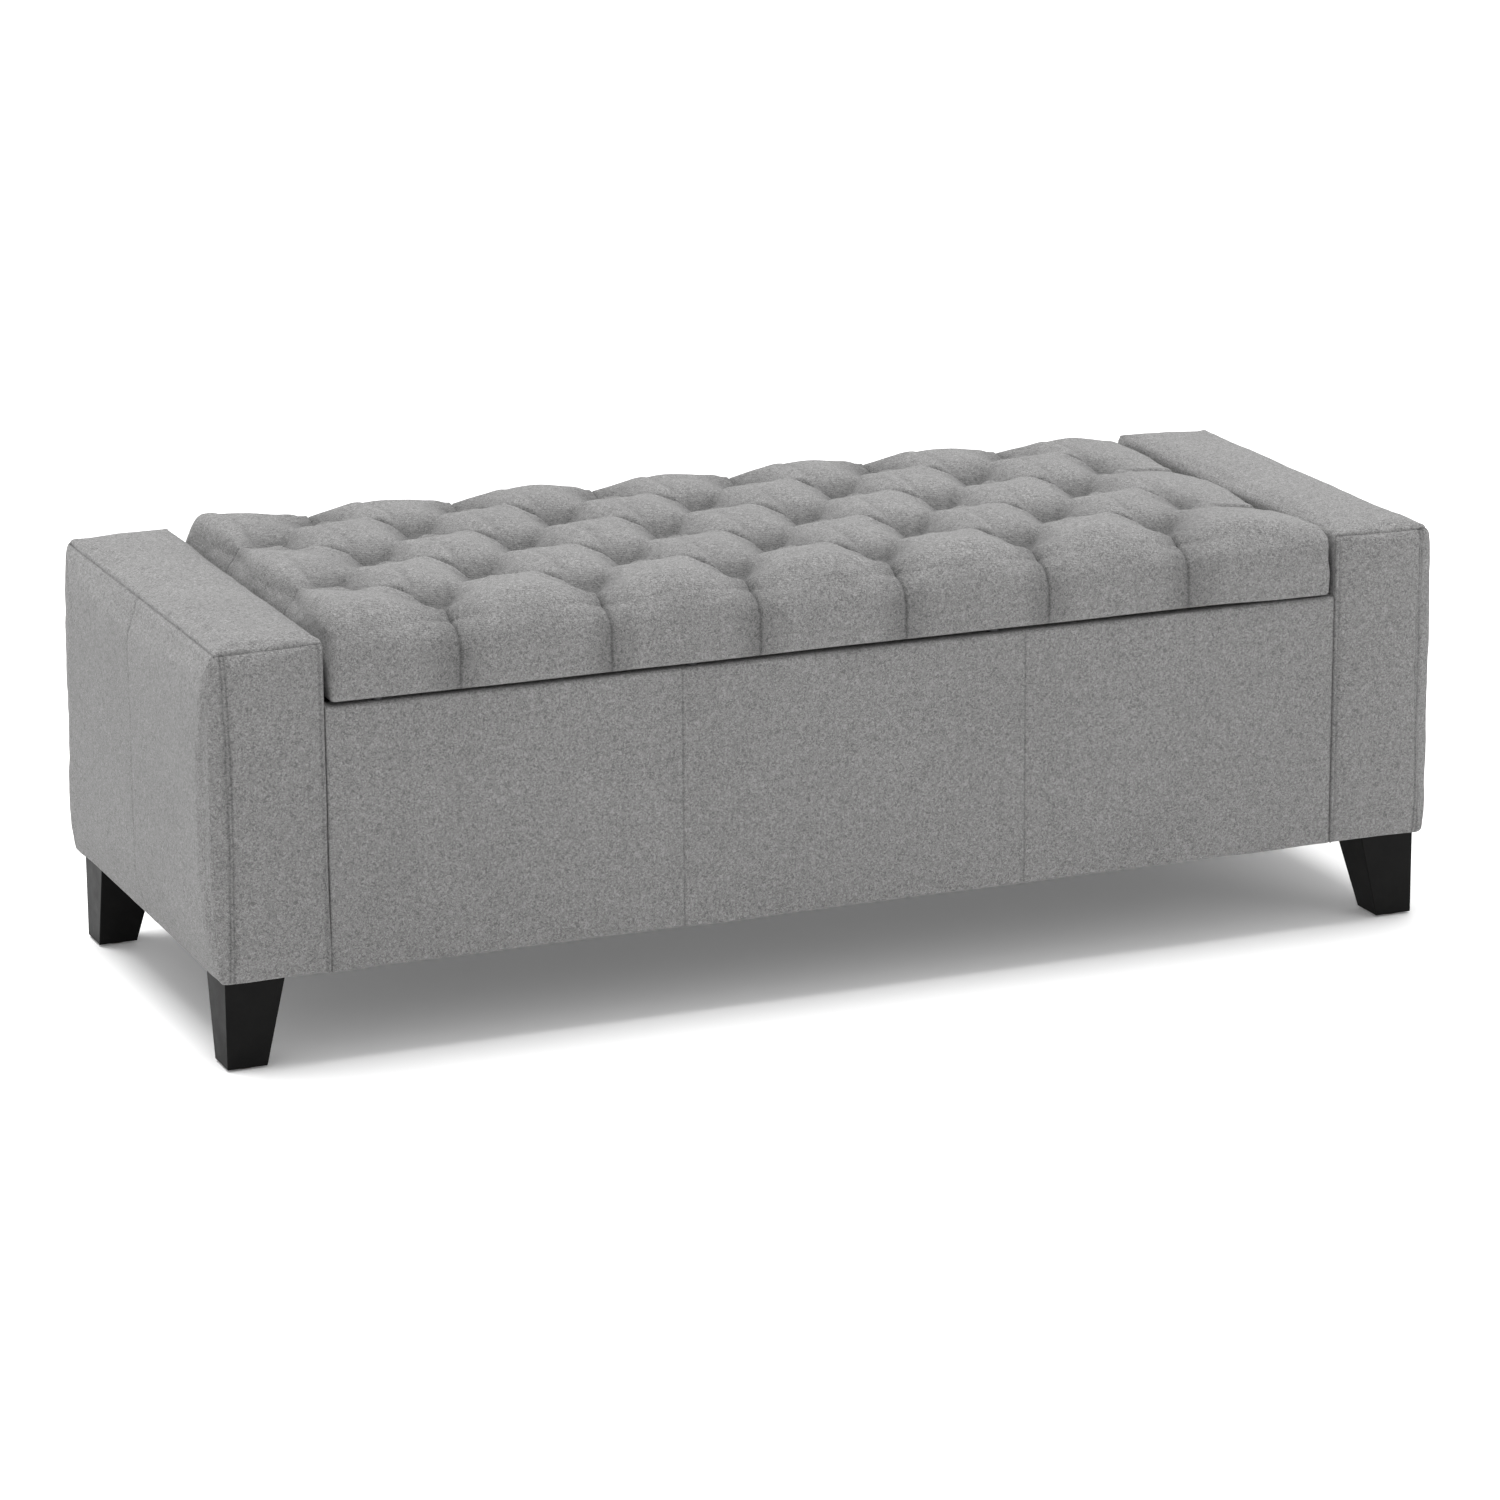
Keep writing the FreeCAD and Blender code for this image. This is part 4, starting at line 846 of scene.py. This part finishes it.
def compartment_lining(material):
    """The loose cloth box inside the bench: floor, front, back round the hinge rail, and both ends."""
    low, high = corners("compartment_lining")
    rail_low, _ = corners("hinge_rail")
    skin = 0.0008
    front, back = low[1] + skin, high[1] - skin
    floor, top = low[2] + skin, high[2]
    rail_front, rail_under = rail_low[1] - skin, rail_low[2] - skin
    path = line([(front, top), (front, floor), (back, floor), (back, rail_under),
                 (rail_front, rail_under), (rail_front, top)], 0.009)
    xs = spread((low[0] + skin, high[0] - skin), 0.010)
    points, _, faces = swept(path, xs)
    points, faces = list(points), list(faces)
    ys = spread((front, rail_front, back), 0.009)
    zs = spread((floor, rail_under, top), 0.009)
    for x, flip in ((xs[0], False), (xs[-1], True)):
        number = {}
        for i, y in enumerate(ys):
            for k, z in enumerate(zs):
                if y <= rail_front + 1e-6 or z <= rail_under + 1e-6:
                    number[i, k] = len(points)
                    points.append((x, y, z))
        for i in range(len(ys) - 1):
            for k in range(len(zs) - 1):
                ring = [number.get(at) for at in ((i, k), (i + 1, k), (i + 1, k + 1), (i, k + 1))]
                if None not in ring:
                    faces.append(ring[::-1] if flip else ring)
    points = np.array(points)
    inside = np.minimum(points[:, 0] - xs[0], xs[-1] - points[:, 0])
    from_top, from_floor = top - points[:, 2], points[:, 2] - floor
    wall = np.minimum(np.clip(from_top / 0.03, 0, 1), np.clip(from_floor / 0.02, 0, 1))
    wave = 0.0016 * np.abs(ripple(points * (1, 1, 0.35), 0.09, 41)) * wall
    on_front, on_back = np.abs(points[:, 1] - front) < 1e-6, np.abs(points[:, 1] - back) < 1e-6
    on_end = inside < 1e-6
    on_floor = ~on_front & ~on_back & ~on_end & (np.abs(from_floor) < 1e-6)
    points[:, 1] += wave * (on_front.astype(float) - on_back) * (inside > 0.005)
    points[:, 0] += wave * on_end * np.sign(-points[:, 0]) * (~on_front & ~on_back)
    points[:, 2] += 0.0008 * np.abs(ripple(points, 0.12, 42)) * on_floor
    piece = mesh_piece("compartment_cloth", points, faces, material, np.zeros(len(points)))
    thickened(piece, skin)
    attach(piece, "bench")
    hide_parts("compartment_lining")
    long = high[0] - low[0]
    deep, tall = back - front, top - floor
    under_rail = back - rail_low[1]
    area = long * (deep + 2 * tall + 2 * under_rail) + 2 * deep * tall
    return piece, (long + 2 * tall, deep + 2 * tall), area


# ---- the bench ----

camera()
studio()
upholstery = cloth("upholstery", 0.190, 0.40, 0.0033, 0.0014, 0.12, 0.008, 0.02)
lining = cloth("lining", 0.055, 0.25, 0.0026, 0.0009, 0.12, 0.02, 0.02)
dust_cloth = spunbond()
zinc = metal("zinc", (0.66, 0.67, 0.68, 1), 0.34, 260)
steel = metal("steel", (0.52, 0.53, 0.54, 1), 0.30, 420)
panel_wood = wood("panel_wood", (0.50, 0.36, 0.21, 1), (0.26, 0.17, 0.09, 1), 0, chips=0.0045)
batten_wood = wood("batten_wood", (0.62, 0.45, 0.27, 1), (0.42, 0.27, 0.13, 1), 130)
felt = matt("felt", (0.16, 0.13, 0.11, 1), 0.95, 0.0006, 0.0004)
lacquer = leg_paint()
rubber = matt("rubber", (0.035, 0.035, 0.037, 1), 0.6, 0.0009, 0.00008)
twine = matt("twine", (0.55, 0.50, 0.42, 1), 0.85, 0.0004, 0.0002)
FINISHES = (  # the first that is part of a node's name is its finish
    ("leg_bolts", zinc), ("leg_tee_nuts", zinc), ("leg_glides", felt), ("leg_", lacquer),
    ("lid_bumpers", rubber), ("_screws", zinc), ("hinge_rail", batten_wood), ("hinge_pins", steel),
    ("hinge_", zinc), ("stay_studs", zinc), ("stay_rivets", steel), ("_stay_", zinc),
    ("batten", batten_wood), ("tuft_washers", zinc), ("tuft_twines", twine), ("board", panel_wood),
)

lid_cushion(upholstery)
for arm_name, arm_side in SIDES:
    arm(arm_name, arm_side, upholstery)
front_board, back_board = corners("front_board"), corners("back_board")
for panel, nodes in (("left", ["front_cover_left"]), ("centre", ["front_cover_centre", "front_foam"]),
                     ("right", ["front_cover_right"])):
    made, _ = wrapped_panel(f"front_panel_{panel}", nodes, front_board[0][1], upholstery)
back_cloth, back_size = wrapped_panel("back_cloth", ["back_cover"], back_board[1][1], upholstery)

lid_tacks = staples("lid_lining_staples", "lid_lining", "lid", steel)
lid_cloth, lid_size = level_sheet("lid_cloth", "lid_lining", "lid", lining, 0.0, -1)
dust_tacks = staples("dust_cover_staples", "dust_cover", "bench", steel)
dust, dust_size = level_sheet("dust_sheet", "dust_cover", "bench", dust_cloth, 0.002, -1)
box_cloth, box_size, box_area = compartment_lining(lining)

for cad_name, cad_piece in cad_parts.items():
    if cad_piece.hide_render:
        continue
    finish = next(material for part, material in FINISHES if part in cad_name)
    cad_piece.data.materials.clear()
    cad_piece.data.materials.append(finish)
